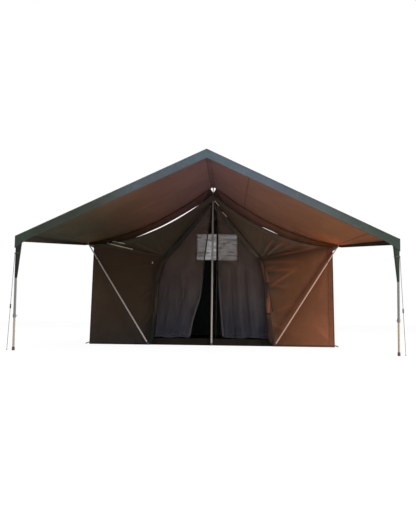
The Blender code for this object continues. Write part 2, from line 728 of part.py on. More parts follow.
for pole_y in (DOOR_POLE_Y, REAR_POLE_Y):
    for target in (roof_ridge_tube, inner_roof):
        spigot_holes(target, pole_y, ROOF_TUBE_Z - POLE_RADIUS, RIDGE_HEIGHT, SPIGOT_RADIUS)
for target in (awning_ridge_tube, awning_canopy):
    spigot_holes(target, DOOR_POLE_Y, AWNING_TUBE_Z - POLE_RADIUS, AWNING_RIDGE_HEIGHT,
                 SPIGOT_TIP_RADIUS)

# Awning portal: cast connectors at the apex and the corners plug into the rafters, the
# ridge tube and the legs
slope = leave_angle(*awning_section(0))
ELBOW_RADIUS = 0.0155
ELBOW_TWIST = math.radians(7)
LEG_X = AWNING_FRONT_HALF - CANVAS - RAFTER_CLEARANCE - POLE_RADIUS
CORNER_Z = AWNING_TUBE_Z - LEG_X * math.tan(slope)
apex = Vector((0, RAFTER_Y, AWNING_TUBE_Z))


def connector(name, centre, directions):
    """Arms as thick as the tubes, each with a stub that plugs into its tube."""
    reach = CONNECTOR_SHOULDER + CONNECTOR_STUB
    profile = [(0, reach), (LEG_ROD_RADIUS, reach), (LEG_ROD_RADIUS, CONNECTOR_SHOULDER),
               (POLE_RADIUS, CONNECTOR_SHOULDER), (POLE_RADIUS, 0), (0, 0)]
    made = turned(name, profile, ZINC_CAST)
    aim(made, centre, centre + directions[0])
    for number, direction in enumerate(directions[1:]):
        arm = turned(name + "_arm_" + str(number), profile)
        aim(arm, centre, centre + direction)
        arm.rotation_quaternion @= Quaternion((0, 0, 1), ELBOW_TWIST * (number + 1))
        boolean(made, arm, "UNION")
    ball_form = bmesh.new()
    bmesh.ops.create_uvsphere(ball_form, u_segments=ROUND_SIDES, v_segments=ROUND_SIDES // 2,
                              radius=ELBOW_RADIUS)
    ball = add_object(name + "_ball", mesh_of(name + "_ball", ball_form))
    ball.location = centre
    boolean(made, ball, "UNION")


down_slope = {side: Vector((side * math.cos(slope), 0, -math.sin(slope)))
              for side in (LEFT, RIGHT)}
connector("apex_connector", apex, [Vector((0, 1, 0)), down_slope[LEFT], down_slope[RIGHT]])

# Corner legs: a painted tube under the corner connector, and a bare rod that slides in it,
# held by a clamp collar with a wing screw and ending in a rubber foot. A canvas sleeve
# comes out from behind the valance and tapers down the top of each leg.
LEG_SPLIT_Z = 0.42
LEG_INSERT = 0.38
COLLAR_HEIGHT = 0.044
COLLAR_WALL = 0.005
BOSS_RADIUS = 0.009
BOSS_LENGTH = 0.014
SCREW_RADIUS = 0.004
SCREW_LENGTH = 0.046
SCREW_HUB_RADIUS = 0.0075
SCREW_HUB_LENGTH = 0.012
WING_REACH = 0.021
WING_THICKNESS = 0.004
WING_RISE = 0.010
SLEEVE_HEIGHT = 0.47
SLEEVE_TOP_DROP = 0.075
SLEEVE_FLARE = 0.050
SLEEVE_SNUG = 0.0006


def wing_screw(name, axis_point, direction, bearing_radius):
    """A wing screw whose tip bears on the rod that it clamps."""
    direction = Vector(direction).normalized()
    tip = Vector(axis_point) + direction * (bearing_radius + SEAM_GAP)
    hub_z = SCREW_LENGTH - SCREW_HUB_LENGTH
    profile = [(0, SCREW_LENGTH), (SCREW_HUB_RADIUS, SCREW_LENGTH), (SCREW_HUB_RADIUS, hub_z),
               (SCREW_RADIUS, hub_z), (SCREW_RADIUS, 0), (0, 0)]
    made = aim(turned(name, profile, BLACK_PLASTIC, sides=12), tip, tip + direction)
    for wing_side in (LEFT, RIGHT):
        form = bmesh.new()
        bmesh.ops.create_cube(form, size=1)
        bmesh.ops.scale(form, vec=(WING_REACH, WING_THICKNESS, SCREW_HUB_LENGTH),
                        verts=form.verts)
        outer = [vertex for vertex in form.verts if vertex.co.x > 0]
        bmesh.ops.translate(form, vec=(0, 0, WING_RISE), verts=outer)
        bmesh.ops.translate(form, vec=(WING_REACH / 2, 0, SCREW_LENGTH - WING_RISE),
                            verts=form.verts)
        bmesh.ops.rotate(form, matrix=Matrix.Rotation(math.pi if wing_side < 0 else 0, 3, "Z"),
                         verts=form.verts)
        wing = add_object(name + "_wing_" + str(wing_side), mesh_of(name + "_wing", form))
        aim(wing, tip, tip + direction)
        boolean(made, wing, "UNION")
    return made


def boss(target, axis_point, direction, inner_radius, outer_radius):
    """A threaded boss for a wing screw, welded to a tube or collar and drilled through."""
    direction = Vector(direction).normalized()
    centre = Vector(axis_point)
    start = centre + direction * mix(inner_radius, outer_radius, 0.5)
    stud = round_bar(target.name + "_boss", start,
                     centre + direction * (outer_radius + BOSS_LENGTH), BOSS_RADIUS, 12)
    boolean(target, stud, "UNION")
    drill(target, centre, centre + direction * (outer_radius + BOSS_LENGTH + CUT_OVERRUN),
          SCREW_RADIUS + HOLE_CLEARANCE)


def corner_leg(label, side):
    x = side * LEG_X
    corner = Vector((x, RAFTER_Y, CORNER_Z))
    connector("corner_connector_" + label, corner, [-down_slope[side], Vector((0, 0, -1))])
    tube("rafter_" + label, apex + down_slope[side] * (CONNECTOR_SHOULDER + SEAM_GAP),
         corner - down_slope[side] * (CONNECTOR_SHOULDER + SEAM_GAP),
         POLE_RADIUS, POLE_WALL, GALVANISED)
    leg = tube("leg_tube_" + label, (x, RAFTER_Y, LEG_SPLIT_Z),
               (x, RAFTER_Y, CORNER_Z - CONNECTOR_SHOULDER - SEAM_GAP),
               POLE_RADIUS, POLE_WALL, LEG_PAINT)
    collar_inner = POLE_RADIUS + SEAM_GAP
    collar_outer = collar_inner + COLLAR_WALL
    profile = [(collar_outer, COLLAR_HEIGHT), (collar_outer, 0), (collar_inner, 0),
               (collar_inner, COLLAR_HEIGHT)]
    collar = turned("leg_collar_" + label, profile, ZINC_CAST, ring=True)
    collar.location = (x, RAFTER_Y, LEG_SPLIT_Z)
    screw_point = Vector((x, RAFTER_Y, LEG_SPLIT_Z + COLLAR_HEIGHT / 2))
    boss(collar, screw_point, (0, 1, 0), collar_inner, collar_outer)
    drill(leg, screw_point, screw_point + Vector((0, POLE_RADIUS + CUT_OVERRUN, 0)),
          SCREW_RADIUS + HOLE_CLEARANCE)
    wing_screw("leg_screw_" + label, screw_point, (0, 1, 0), LEG_ROD_RADIUS)
    foot_cup("leg_foot_" + label, x, RAFTER_Y, 0, LEG_ROD_RADIUS, FOOT_RUBBER)
    tube("leg_rod_" + label, (x, RAFTER_Y, FOOT_FLOOR + SEAM_GAP),
         (x, RAFTER_Y, LEG_SPLIT_Z + LEG_INSERT), LEG_ROD_RADIUS, POLE_WALL, GALVANISED)
    leg_sleeve(label, side, x)


SLEEVE_TOP_Z = AWNING_CORNER_HEIGHT - SLEEVE_TOP_DROP


def leg_sleeve(label, side, x):
    snug = POLE_RADIUS + SLEEVE_SNUG
    form = bmesh.new()
    bmesh.ops.create_cone(form, cap_ends=False, segments=ROUND_SIDES, radius1=snug,
                          radius2=snug, depth=SLEEVE_HEIGHT)
    flared = [vertex for vertex in form.verts
              if vertex.co.z > 0 and side * vertex.co.x < -MERGE_DISTANCE]
    bmesh.ops.translate(form, vec=(-side * SLEEVE_FLARE, 0, 0), verts=flared)
    made = add_object("leg_sleeve_" + label, mesh_of("leg_sleeve", form, 60), TRIM_CANVAS)
    made.location = (x, RAFTER_Y, SLEEVE_TOP_Z - SLEEVE_HEIGHT / 2)
    cloth = made.modifiers.new("cloth", "SOLIDIFY")
    cloth.thickness = CANVAS
    cloth.offset = 1


for label, side in SIDES:
    corner_leg(label, side)

# Eave struts: from beside the doorway a tube leans out to the eave corner, and a rod slides
# in it, with a pin that goes up through the eyelets at the corner. The rear pair match.
STRUT_FOOT_X = 1.015
STRUT_TOP_X = 2.03
STRUT_TOP_STAND_OFF = 0.030
STRUT_JOINT_SHARE = 0.86
STRUT_ROD_INSERT = 0.26
STRUT_PIN_RADIUS = 0.005
STRUT_PIN_LENGTH = 0.095
STRUT_PLUG = 0.03
STRUT_BOSS_BACK = 0.022
PIN_HOLE_CLEARANCE = 0.0012


def strut(label, side, wall_y, outward):
    lean = math.atan2(STRUT_TOP_X - STRUT_FOOT_X, WALL_HEIGHT)
    foot = Vector((side * STRUT_FOOT_X, wall_y + outward * STRUT_FOOT_STAND_OFF,
                   STRUT_RADIUS * math.sin(lean)))
    shoulder_z = WALL_HEIGHT - STRUT_ROD_RADIUS * math.sin(lean) - CLOTH_CLEARANCE
    top = Vector((side * STRUT_TOP_X, wall_y + outward * STRUT_TOP_STAND_OFF, shoulder_z))
    line = (top - foot).normalized()
    length = (top - foot).length
    joint = foot + line * length * STRUT_JOINT_SHARE
    body = tube("strut_tube_" + label, foot, joint, STRUT_RADIUS, STRUT_WALL, GALVANISED)
    rod_foot = joint - line * STRUT_ROD_INSERT
    rod_length = (top - rod_foot).length
    bore = STRUT_ROD_RADIUS - STRUT_WALL
    pin_z = rod_length + STRUT_PIN_LENGTH
    profile = [(0, pin_z), (STRUT_PIN_RADIUS - SPIGOT_CHAMFER, pin_z),
               (STRUT_PIN_RADIUS, pin_z - SPIGOT_CHAMFER), (STRUT_PIN_RADIUS, rod_length),
               (STRUT_ROD_RADIUS, rod_length), (STRUT_ROD_RADIUS, 0), (bore, 0),
               (bore, rod_length - STRUT_PLUG), (0, rod_length - STRUT_PLUG)]
    aim(turned("strut_rod_" + label, profile, GALVANISED), rod_foot, top)
    across = line.cross(Vector((side, 0, 0)))
    facing = across if across.y * outward > 0 else -across
    screw_point = joint - line * STRUT_BOSS_BACK
    boss(body, screw_point, facing, STRUT_RADIUS - STRUT_WALL, STRUT_RADIUS)
    wing_screw("strut_screw_" + label, screw_point, facing, STRUT_ROD_RADIUS)
    pin_end = top + line * (STRUT_PIN_LENGTH + CUT_OVERRUN)
    for cloth in (inner_roof, awning_canopy) if outward < 0 else (inner_roof,):
        drill(cloth, top, pin_end, STRUT_PIN_RADIUS + PIN_HOLE_CLEARANCE)


for label, side in SIDES:
    strut("front_" + label, side, FRONT_WALL_Y, -1)
    strut("rear_" + label, side, REAR_WALL_Y, 1)

# Guy ropes: tied round the sleeve at the top of each corner leg and drawn down to the
# ground beside its foot, with a runner that tightens the rope
GUY_RADIUS = 0.003
GUY_TOP_Z = 1.25
GUY_FOOT_OFFSET = 0.085
GUY_POINTS = 24
RUNNER_RADIUS = 0.009
RUNNER_LENGTH = 0.055
RUNNER_SHARE = 0.55
RUNNER_CLEARANCE = 0.0006


def guy(label, side):
    sleeve_x = LEG_X + POLE_RADIUS + SLEEVE_SNUG + CANVAS
    start_x = sleeve_x + TUBE_CLEARANCE + GUY_RADIUS
    start = Vector((side * start_x, RAFTER_Y, GUY_TOP_Z))
    end = Vector((side * (LEG_X + GUY_FOOT_OFFSET), RAFTER_Y, GUY_RADIUS))
    curve = bpy.data.curves.new("guy_rope_" + label, "CURVE")
    curve.dimensions = "3D"
    curve.bevel_depth = GUY_RADIUS
    curve.bevel_resolution = 2
    curve.use_fill_caps = True
    curve.render_resolution_u = 0
    line = curve.splines.new("POLY")
    line.points.add(GUY_POINTS - 1)
    for number, spot in enumerate(line.points):
        spot.co = (*start.lerp(end, number / (GUY_POINTS - 1)), 1)
    add_object("guy_rope_" + label, curve, GUY_CORD)
    middle = start.lerp(end, RUNNER_SHARE)
    half_way = (end - start).normalized() * RUNNER_LENGTH / 2
    tube("guy_runner_" + label, middle - half_way, middle + half_way, RUNNER_RADIUS,
         RUNNER_RADIUS - GUY_RADIUS - RUNNER_CLEARANCE, BLACK_PLASTIC)


for label, side in SIDES:
    guy(label, side)
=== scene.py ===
import math

import bmesh
import bpy
from mathutils import Matrix, Vector, noise


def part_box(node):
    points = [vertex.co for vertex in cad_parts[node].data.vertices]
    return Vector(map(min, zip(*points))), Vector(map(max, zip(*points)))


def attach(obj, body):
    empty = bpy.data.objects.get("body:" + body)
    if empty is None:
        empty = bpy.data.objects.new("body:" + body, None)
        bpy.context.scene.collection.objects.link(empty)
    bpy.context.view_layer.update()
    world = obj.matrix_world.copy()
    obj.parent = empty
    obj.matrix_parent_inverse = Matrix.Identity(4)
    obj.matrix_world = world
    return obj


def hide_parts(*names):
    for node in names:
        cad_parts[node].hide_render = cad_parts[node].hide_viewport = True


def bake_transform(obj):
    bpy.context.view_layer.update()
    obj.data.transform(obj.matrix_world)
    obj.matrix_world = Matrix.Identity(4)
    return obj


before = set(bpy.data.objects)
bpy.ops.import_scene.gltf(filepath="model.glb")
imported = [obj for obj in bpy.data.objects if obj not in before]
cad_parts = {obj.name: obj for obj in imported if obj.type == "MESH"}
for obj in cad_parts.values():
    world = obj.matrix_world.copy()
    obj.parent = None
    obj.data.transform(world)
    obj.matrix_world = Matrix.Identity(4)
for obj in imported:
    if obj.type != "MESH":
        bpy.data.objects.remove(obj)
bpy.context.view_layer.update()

# Camera, daylight and ground. The tent stands on open level ground. Warm light comes in low
# from the right, under the awning, and a soft sky fills the rest. The camera is low down,
# nine metres in front of the awning and a little to the right of the ridge.
FRONT_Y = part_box("awning_valance")[0].y
REAR_WALL_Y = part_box("rear_wall")[1].y
TENT_DEPTH = 2.70
FRONT_WALL_Y = REAR_WALL_Y - TENT_DEPTH
CAMERA_PLACE = Vector((0.409, FRONT_Y - 9.086, 0.436))
CAMERA_YAW, CAMERA_PITCH, CAMERA_ROLL = 0.041, 0.082, 0.013
CAMERA_LENS = 49.43
SENSOR_WIDTH = 36
WHITE = (1.0, 1.0, 1.0, 1.0)
SKY_COLOUR = (0.90, 0.95, 1.0, 1.0)
SKY_STRENGTH = 0.50
GROUND_REACH = 60
GROUND_COLOUR = (0.78, 0.72, 0.66, 1.0)
SHADOW_SHARE = 0.13
GROUND_WHITE = 1.06
# Each lamp's name, place, target, width, power and colour.
LAMPS = (("low_sun", (12.5, -7.5, 4.0), (0.8, -0.4, 0.8), 5.0, 1350, (1.0, 0.93, 0.84)),
         ("front_sky", (-5.0, -12.0, 6.5), (0.0, -1.0, 1.4), 7.0, 330, (0.90, 0.95, 1.0)),
         ("rear_sky", (1.0, 11.0, 8.0), (0.0, 0.5, 1.5), 7.0, 420, (0.95, 0.97, 1.0)))


def feed(node, sockets):
    """Each of the node's sockets is fed by a link or given a value."""
    for key, value in sockets.items():
        if isinstance(value, bpy.types.NodeSocket):
            node.id_data.links.new(value, node.inputs[key])
        else:
            node.inputs[key].default_value = value


def add(tree, kind, sockets=None, **settings):
    """One node with its settings and what feeds it."""
    made = tree.nodes.new(kind)
    for key, value in settings.items():
        setattr(made, key, value)
    feed(made, sockets or {})
    return made


def placed(name, data):
    made = bpy.data.objects.new(name, data)
    bpy.context.scene.collection.objects.link(made)
    return made


def aim_camera():
    right = Vector((math.cos(CAMERA_YAW), math.sin(CAMERA_YAW), 0))
    ahead = Vector((-math.sin(CAMERA_YAW) * math.cos(CAMERA_PITCH),
                    math.cos(CAMERA_YAW) * math.cos(CAMERA_PITCH), math.sin(CAMERA_PITCH)))
    up = right.cross(ahead)
    rolled_right = right * math.cos(CAMERA_ROLL) + up * math.sin(CAMERA_ROLL)
    rolled_up = up * math.cos(CAMERA_ROLL) - right * math.sin(CAMERA_ROLL)
    lens = bpy.data.cameras.new("camera")
    lens.lens = CAMERA_LENS
    lens.sensor_width = SENSOR_WIDTH
    camera = placed("camera", lens)
    turn = Matrix((rolled_right, rolled_up, -ahead)).transposed()
    camera.matrix_world = Matrix.Translation(CAMERA_PLACE) @ turn.to_4x4()
    bpy.context.scene.camera = camera


def summed(first, second, way="ADD"):
    return add(first.id_data, "ShaderNodeMath", {0: first, 1: second}, operation=way).outputs[0]


def seen_directly(tree):
    """1 for what the camera sees directly, in a gloss or through glass, else 0."""
    path = add(tree, "ShaderNodeLightPath").outputs
    near = summed(path["Is Camera Ray"], path["Is Glossy Ray"], "MAXIMUM")
    return summed(near, path["Is Transmission Ray"], "MAXIMUM")


def light_the_sky():
    sky = bpy.data.worlds.new("sky")
    bpy.context.scene.world = sky
    sky.use_nodes = True
    tree = sky.node_tree
    tree.nodes.clear()
    soft = add(tree, "ShaderNodeBackground", {"Color": SKY_COLOUR, "Strength": SKY_STRENGTH})
    bright = add(tree, "ShaderNodeBackground", {"Color": WHITE, "Strength": 1.0})
    both = add(tree, "ShaderNodeMixShader", {0: seen_directly(tree), 1: soft.outputs[0],
                                             2: bright.outputs[0]})
    add(tree, "ShaderNodeOutputWorld", {"Surface": both.outputs[0]})


def soft_lamp(name, place, target, width, power, colour):
    lamp = bpy.data.lights.new(name, "AREA")
    lamp.shape = "DISK"
    lamp.size = width
    lamp.energy = power
    lamp.color = colour
    made = placed(name, lamp)
    made.location = place
    made.rotation_mode = "QUATERNION"
    made.rotation_quaternion = (Vector(target) - Vector(place)).to_track_quat("-Z", "Y")


def lay_ground():
    form = bmesh.new()
    bmesh.ops.create_grid(form, x_segments=1, y_segments=1, size=GROUND_REACH)
    mesh = bpy.data.meshes.new("ground")
    form.to_mesh(mesh)
    form.free()
    ground = placed("ground", mesh)
    pale = bpy.data.materials.new("pale_ground")
    pale.use_nodes = True
    tree = pale.node_tree
    tree.nodes.clear()
    matt = add(tree, "ShaderNodeBsdfDiffuse", {"Color": GROUND_COLOUR})
    bright = add(tree, "ShaderNodeEmission", {"Color": WHITE, "Strength": GROUND_WHITE})
    shaded = add(tree, "ShaderNodeBsdfDiffuse", {"Color": WHITE})
    lit = add(tree, "ShaderNodeMixShader", {0: SHADOW_SHARE, 1: bright.outputs[0],
                                            2: shaded.outputs[0]})
    both = add(tree, "ShaderNodeMixShader", {0: seen_directly(tree), 1: matt.outputs[0],
                                             2: lit.outputs[0]})
    add(tree, "ShaderNodeOutputMaterial", {"Surface": both.outputs[0]})
    mesh.materials.append(pale)


bpy.context.scene.view_settings.view_transform = "Standard"
aim_camera()
light_the_sky()
lay_ground()
for lamp in LAMPS:
    soft_lamp(*lamp)

# Guy ropes. A braided cord is tied round the sleeve at the top of each corner leg and drawn
# straight down to the ground beside its foot, where it ends in a knot. A plastic runner on
# it takes up the slack.
LEG_X = 2.448
LEG_Y = FRONT_Y + 0.022
POLE_RADIUS = 0.016
SIDES = (("left", -1), ("right", 1))
GUY_RADIUS = 0.003
GUY_TOP_Z = 1.25
GUY_START_X = LEG_X + 0.0221
GUY_END_X = LEG_X + 0.085
GUY_POINTS = 24
GUY_TURN_RADIUS = 0.0216
GUY_TURN_POINTS = 32
SLEEVE_FLARE = 0.050
SLEEVE_TOP_Z = 1.40
SLEEVE_HEIGHT = 0.47
CORD_DARK = (0.10, 0.072, 0.050)
CORD_LIGHT = (0.21, 0.155, 0.115)


def new_finish(name, roughness, metallic=0.0):
    made = bpy.data.materials.new(name)
    made.use_nodes = True
    shader = made.node_tree.nodes["Principled BSDF"]
    feed(shader, {"Roughness": roughness, "Metallic": metallic})
    return made, made.node_tree, shader


def object_place(tree):
    return add(tree, "ShaderNodeTexCoord").outputs["Object"]


def blended(share, low, high, way="MIX"):
    """A colour between two, each a link or a colour of three values."""
    tree = next(one.id_data for one in (share, low, high)
                if isinstance(one, bpy.types.NodeSocket))
    low, high = [(*one, 1.0) if isinstance(one, tuple) else one for one in (low, high)]
    return add(tree, "ShaderNodeMix", {0: share, 6: low, 7: high}, data_type="RGBA",
               blend_type=way).outputs[2]


def tinted(colour, tint, share=1.0):
    return blended(share, colour, tint, "MULTIPLY")


def stretched(value, low, high, start=0.0, end=1.0, way="LINEAR"):
    """A value between start and end, carried to one between low and high."""
    return add(value.id_data, "ShaderNodeMapRange",
               {0: value, 1: start, 2: end, 3: low, 4: high}, interpolation_type=way).outputs[0]


def part_of(place, axis):
    return add(place.id_data, "ShaderNodeSeparateXYZ", {0: place}).outputs[axis]


def along(place, axis, start, end, way="SMOOTHSTEP"):
    """0 at one spot of an axis and 1 at another."""
    return stretched(part_of(place, axis), 0.0, 1.0, start, end, way)


def bumped(shader, height, depth, strength=1.0, under=None):
    sockets = {"Height": height, "Distance": depth, "Strength": strength}
    if under is not None:
        sockets["Normal"] = under
    bump = add(shader.id_data, "ShaderNodeBump", sockets).outputs["Normal"]
    feed(shader, {"Normal": bump})
    return bump


def make_cord_finish():
    made, tree, shader = new_finish("braided_cord", 0.85)
    strand = add(tree, "ShaderNodeTexWave", {"Vector": object_place(tree), "Scale": 90.0,
                                             "Distortion": 1.5},
                 bands_direction="DIAGONAL").outputs["Fac"]
    feed(shader, {"Base Color": blended(strand, CORD_DARK, CORD_LIGHT)})
    bumped(shader, strand, 0.0006)
    return made


CORD_FINISH = make_cord_finish()


def show(name, form, finishes, body="tent", sharp_degrees=50):
    """A finished piece from its bmesh, with the materials it wears, riding on its body."""
    mesh = bpy.data.meshes.new(name)
    form.to_mesh(mesh)
    form.free()
    mesh.shade_smooth()
    mesh.set_sharp_from_angle(angle=math.radians(sharp_degrees))
    made = placed(name, mesh)
    for one in finishes:
        mesh.materials.append(one)
    if body:
        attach(made, body)
    return made


def cord_line(name, points, radius, finish, body="tent", closed=False):
    """A cord along a list of points, as a curve with a round section."""
    curve = bpy.data.curves.new(name, "CURVE")
    curve.dimensions = "3D"
    curve.bevel_depth = radius
    curve.bevel_resolution = 3
    curve.use_fill_caps = True
    line = curve.splines.new("POLY")
    line.points.add(len(points) - 1)
    for spot, place in zip(line.points, points):
        spot.co = (*place, 1)
    line.use_cyclic_u = closed
    curve.materials.append(finish)
    made = placed(name, curve)
    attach(made, body)
    return made


def lump(form, place, radii):
    """A small ball, stretched by its three radii, for a knot or a rivet head."""
    grown = bmesh.ops.create_uvsphere(form, u_segments=12, v_segments=8, radius=1)
    bmesh.ops.scale(form, vec=radii, verts=grown["verts"])
    bmesh.ops.translate(form, vec=place, verts=grown["verts"])


def settle(form):
    """Lists the faces by their corners, so that they stand in one order on every run."""
    form.verts.index_update()
    base = len(form.verts)
    form.faces.sort(key=lambda face: sum(
        index * base ** place
        for place, index in enumerate(sorted(corner.index for corner in face.verts))))
    return form


def sleeve_flare(z):
    return SLEEVE_FLARE * min(max(z - SLEEVE_TOP_Z + SLEEVE_HEIGHT, 0) / SLEEVE_HEIGHT, 1)


def guy_rope(label, side):
    start = Vector((side * GUY_START_X, LEG_Y, GUY_TOP_Z))
    end = Vector((side * GUY_END_X, LEG_Y, GUY_RADIUS))
    rope = cord_line("guy_rope_cord_" + label,
                     [start.lerp(end, i / (GUY_POINTS - 1)) for i in range(GUY_POINTS)],
                     GUY_RADIUS, CORD_FINISH)
    ring = []
    for step in range(GUY_TURN_POINTS):
        angle = math.tau * step / GUY_TURN_POINTS
        inward = max(-math.cos(angle), 0)
        x = LEG_X + math.cos(angle) * GUY_TURN_RADIUS
        ring.append((side * (x - min(inward * 3, 1) * sleeve_flare(GUY_TOP_Z)),
                     LEG_Y + math.sin(angle) * GUY_TURN_RADIUS, GUY_TOP_Z))
    turn = cord_line("guy_rope_turn_" + label, ring, GUY_RADIUS, CORD_FINISH, closed=True)
    knots = bmesh.new()
    lump(knots, start + Vector((side * 0.001, 0, 0)), (0.006, 0.0075, 0.009))
    lump(knots, end + Vector((0, 0, 0.008)), (0.006, 0.006, 0.009))
    knot = show("guy_rope_knots_" + label, settle(knots), [CORD_FINISH])
    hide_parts("guy_rope_" + label)


for label, side in SIDES:
    guy_rope(label, side)

# Awning. One big sheet of coated canvas, green outside and red-brown inside, sewn from
# widths that run back from the rafters. It hugs its ridge tube, hangs slack between that
# and the eaves, and is pulled into folds by its corners.
CANVAS = 0.002
SEAM_GAP = 0.0003
TUBE_CLEARANCE = 0.0005
RIDGE_HUG = POLE_RADIUS + TUBE_CLEARANCE
RIDGE_HEIGHT = 2.47
AWNING_RIDGE_STAND = 0.16
AWNING_TUBE_Z = RIDGE_HEIGHT + AWNING_RIDGE_STAND - CANVAS - RIDGE_HUG
AWNING_FRONT_HALF = 2.47
AWNING_REAR_HALF = 2.075
AWNING_CORNER_Z = 1.475
AWNING_REAR_EAVE_Z = 1.665
AWNING_SAG = 0.16
AWNING_FRONT_EDGE_Y = FRONT_Y + CANVAS + SEAM_GAP
AWNING_REAR_Y = FRONT_WALL_Y + 0.075
ARC_SHARE = 3 / 16
SEAM_WIDTH = 0.022
SEAM_SKIN = 0.0010
UNDER_LIFT = 0.0002
OUTER_LIFT = CANVAS + 0.0002
GREENS = ((0.036, 0.050, 0.038), (0.060, 0.078, 0.060), (0.13, 0.145, 0.12))
LINING_FADED = (0.29, 0.16, 0.12)
LINING_BROWNS = ((0.180, 0.083, 0.058), (0.225, 0.105, 0.074), LINING_FADED)
# Seam browns: darker along the width seams as painted shade, lighter along the cross seam as a
# painted highlight.
SHADED_SEAM_BROWNS = ((0.125, 0.058, 0.040), (0.155, 0.072, 0.050), LINING_FADED)
HIGHLIGHTED_SEAM_BROWNS = ((0.235, 0.112, 0.078), (0.29, 0.138, 0.096), LINING_FADED)
# Painted light and shade on the lining from the left eave to the right one: shaded dark on
# the left, lit warm on the right.
LINING_LIGHT_AND_SHADE = ((-2.3, (0.12, 0.25, 0.13)), (-1.7, (0.26, 0.40, 0.25)),
                 (-1.0, (0.82, 0.86, 0.78)), (0.0, (1.14, 1.32, 1.90)),
                 (0.8, (1.52, 1.55, 1.52)), (1.7, (1.60, 1.45, 0.98)),
                 (2.3, (1.40, 1.08, 0.62)))


def mix(low, high, share):
    return low + (high - low) * share


def straight(start, end):
    """The path of a straight seam from one spot of a cloth to another."""
    return lambda s: (mix(start[0], end[0], s), mix(start[1], end[1], s))


def run_length(points):
    return sum((b - a).length for a, b in zip(points, points[1:]))


def eased(value, start, end):
    """0 before start, 1 after end, smooth between them."""
    share = min(max((value - start) / (end - start), 0), 1)
    return share * share * (3 - 2 * share)


def drift(a, b, c):
    """Smooth noise from -1 to 1, for what hangs or lies unevenly."""
    return noise.noise(Vector((a, b, c)))


def leave_angle(half, tube_z, eave, sag):
    """How steeply a slung cloth leaves its ridge tube."""
    drop = tube_z - eave + 4 * sag
    return math.atan2(drop, half) + math.asin(RIDGE_HUG / math.hypot(half, drop))


def slung(share, half, tube_z, eave, sag):
    """(x, z) of a slung cloth's underside, from the ridge to the eave."""
    turn = leave_angle(half, tube_z, eave, sag)
    angle = turn * min(share / ARC_SHARE, 1)
    start_x, start_z = RIDGE_HUG * math.sin(angle), tube_z + RIDGE_HUG * math.cos(angle)
    run = max(share - ARC_SHARE, 0) / (1 - ARC_SHARE)
    return mix(start_x, half, run), mix(start_z, eave, run) - 4 * sag * run * (1 - run)


def slung_height(x, half, tube_z, eave, sag):
    start_x = RIDGE_HUG * math.sin(leave_angle(half, tube_z, eave, sag))
    run = min(max(abs(x) - start_x, 0) / (half - start_x), 1)
    return slung(mix(ARC_SHARE, 1, run), half, tube_z, eave, sag)[1]


def awning_section(depth):
    half = mix(AWNING_FRONT_HALF, AWNING_REAR_HALF, depth) - CANVAS
    eave = mix(AWNING_CORNER_Z, AWNING_REAR_EAVE_Z, depth) - CANVAS
    return half, AWNING_TUBE_Z, eave, AWNING_SAG * depth ** 2


def crease(spot, start, end, width, depth):
    """How high a pulled fold of cloth stands at a spot on the flat: it is narrow where it
    starts and spreads and dies out towards its end."""
    start, end = Vector(start), Vector(end)
    along = end - start
    share = min(max((spot - start).dot(along) / along.length_squared, 0), 1)
    away = (spot - start - along * share).length
    spread = width * (0.4 + share)
    fade = math.sin(math.pi * min(share * 0.85 + 0.15, 1))
    return depth * fade * math.exp(-(away / spread) ** 1.3)


def creased(spot, folds):
    return sum(crease(spot, *fold) for fold in folds)


def painted_fold_light(spot, folds, full):
    """Painted light of the folds: 1 for a painted highlight on their ridges and -1 for painted
    shade in the hollows under them.
    """
    ridge = hollow = 0.0
    for start, end, width, depth in folds:
        ridge += crease(spot, start, end, width, depth / full)
        below = spot + Vector((0, width * 1.5))
        hollow += crease(below, start, end, width * 2.0, depth / full)
    return min(max(1.35 * ridge - 0.95 * hollow, -1), 1)


# Folds of the awning, each from a spot to another as (out from the ridge, forward from the
# rear edge), with its width and height.
AWNING_FOLDS = (
    ((2.07, 0.02), (1.20, 0.85), 0.050, 0.018), ((2.07, 0.04), (1.62, 1.10), 0.045, 0.014),
    ((2.05, 0.00), (0.95, 0.42), 0.040, 0.016), ((2.07, 0.02), (1.85, 1.30), 0.040, 0.012),
    ((2.45, 2.60), (1.75, 1.75), 0.050, 0.010), ((2.45, 2.60), (2.15, 1.30), 0.045, 0.010),
    ((0.05, 0.02), (0.55, 0.60), 0.035, 0.012), ((0.06, 0.10), (0.32, 0.95), 0.030, 0.009),
    ((1.35, 0.02), (1.20, 0.70), 0.060, 0.012), ((0.60, 0.02), (0.66, 0.55), 0.045, 0.010),
)


def awning_slack(x, y):
    """How far the awning lies off its smooth shape."""
    spot = Vector((abs(x), AWNING_REAR_Y - y))
    folds = creased(spot, AWNING_FOLDS)
    billow = 0.012 * drift(x * 1.3, y * 1.1, 3.1)
    ripple = 0.004 * drift(x * 5.0, y * 2.6, 7.7)
    free = eased(abs(x), 0.03, 0.30) * eased(y - AWNING_FRONT_EDGE_Y, 0.05, 0.40)
    depth = (y - AWNING_FRONT_EDGE_Y) / (AWNING_REAR_Y - AWNING_FRONT_EDGE_Y)
    edge = eased(awning_section(depth)[0] - abs(x), -0.02, 0.22)
    return (folds + billow + ripple) * free * mix(0.2, 1, edge)


def awning_at(u, v):
    across = 2 * u - 1
    side = math.copysign(1, across)
    x, z = slung(abs(across), *awning_section(v))
    y = mix(AWNING_FRONT_EDGE_Y, AWNING_REAR_Y, v)
    return Vector((side * x, y, z + awning_slack(side * x, y)))


def awning_place(x, y):
    """The awning's underside over a spot on the ground."""
    depth = (y - AWNING_FRONT_EDGE_Y) / (AWNING_REAR_Y - AWNING_FRONT_EDGE_Y)
    return Vector((x, y, slung_height(x, *awning_section(depth)) + awning_slack(x, y)))


def lay_out(form, spot):
    """Where each corner lies on the flat cloth, in metres, for its weave and stitches."""
    layout = form.loops.layers.uv.new("cut")
    for face in form.faces:
        for loop in face.loops:
            loop[layout].uv = spot(loop.vert.co)


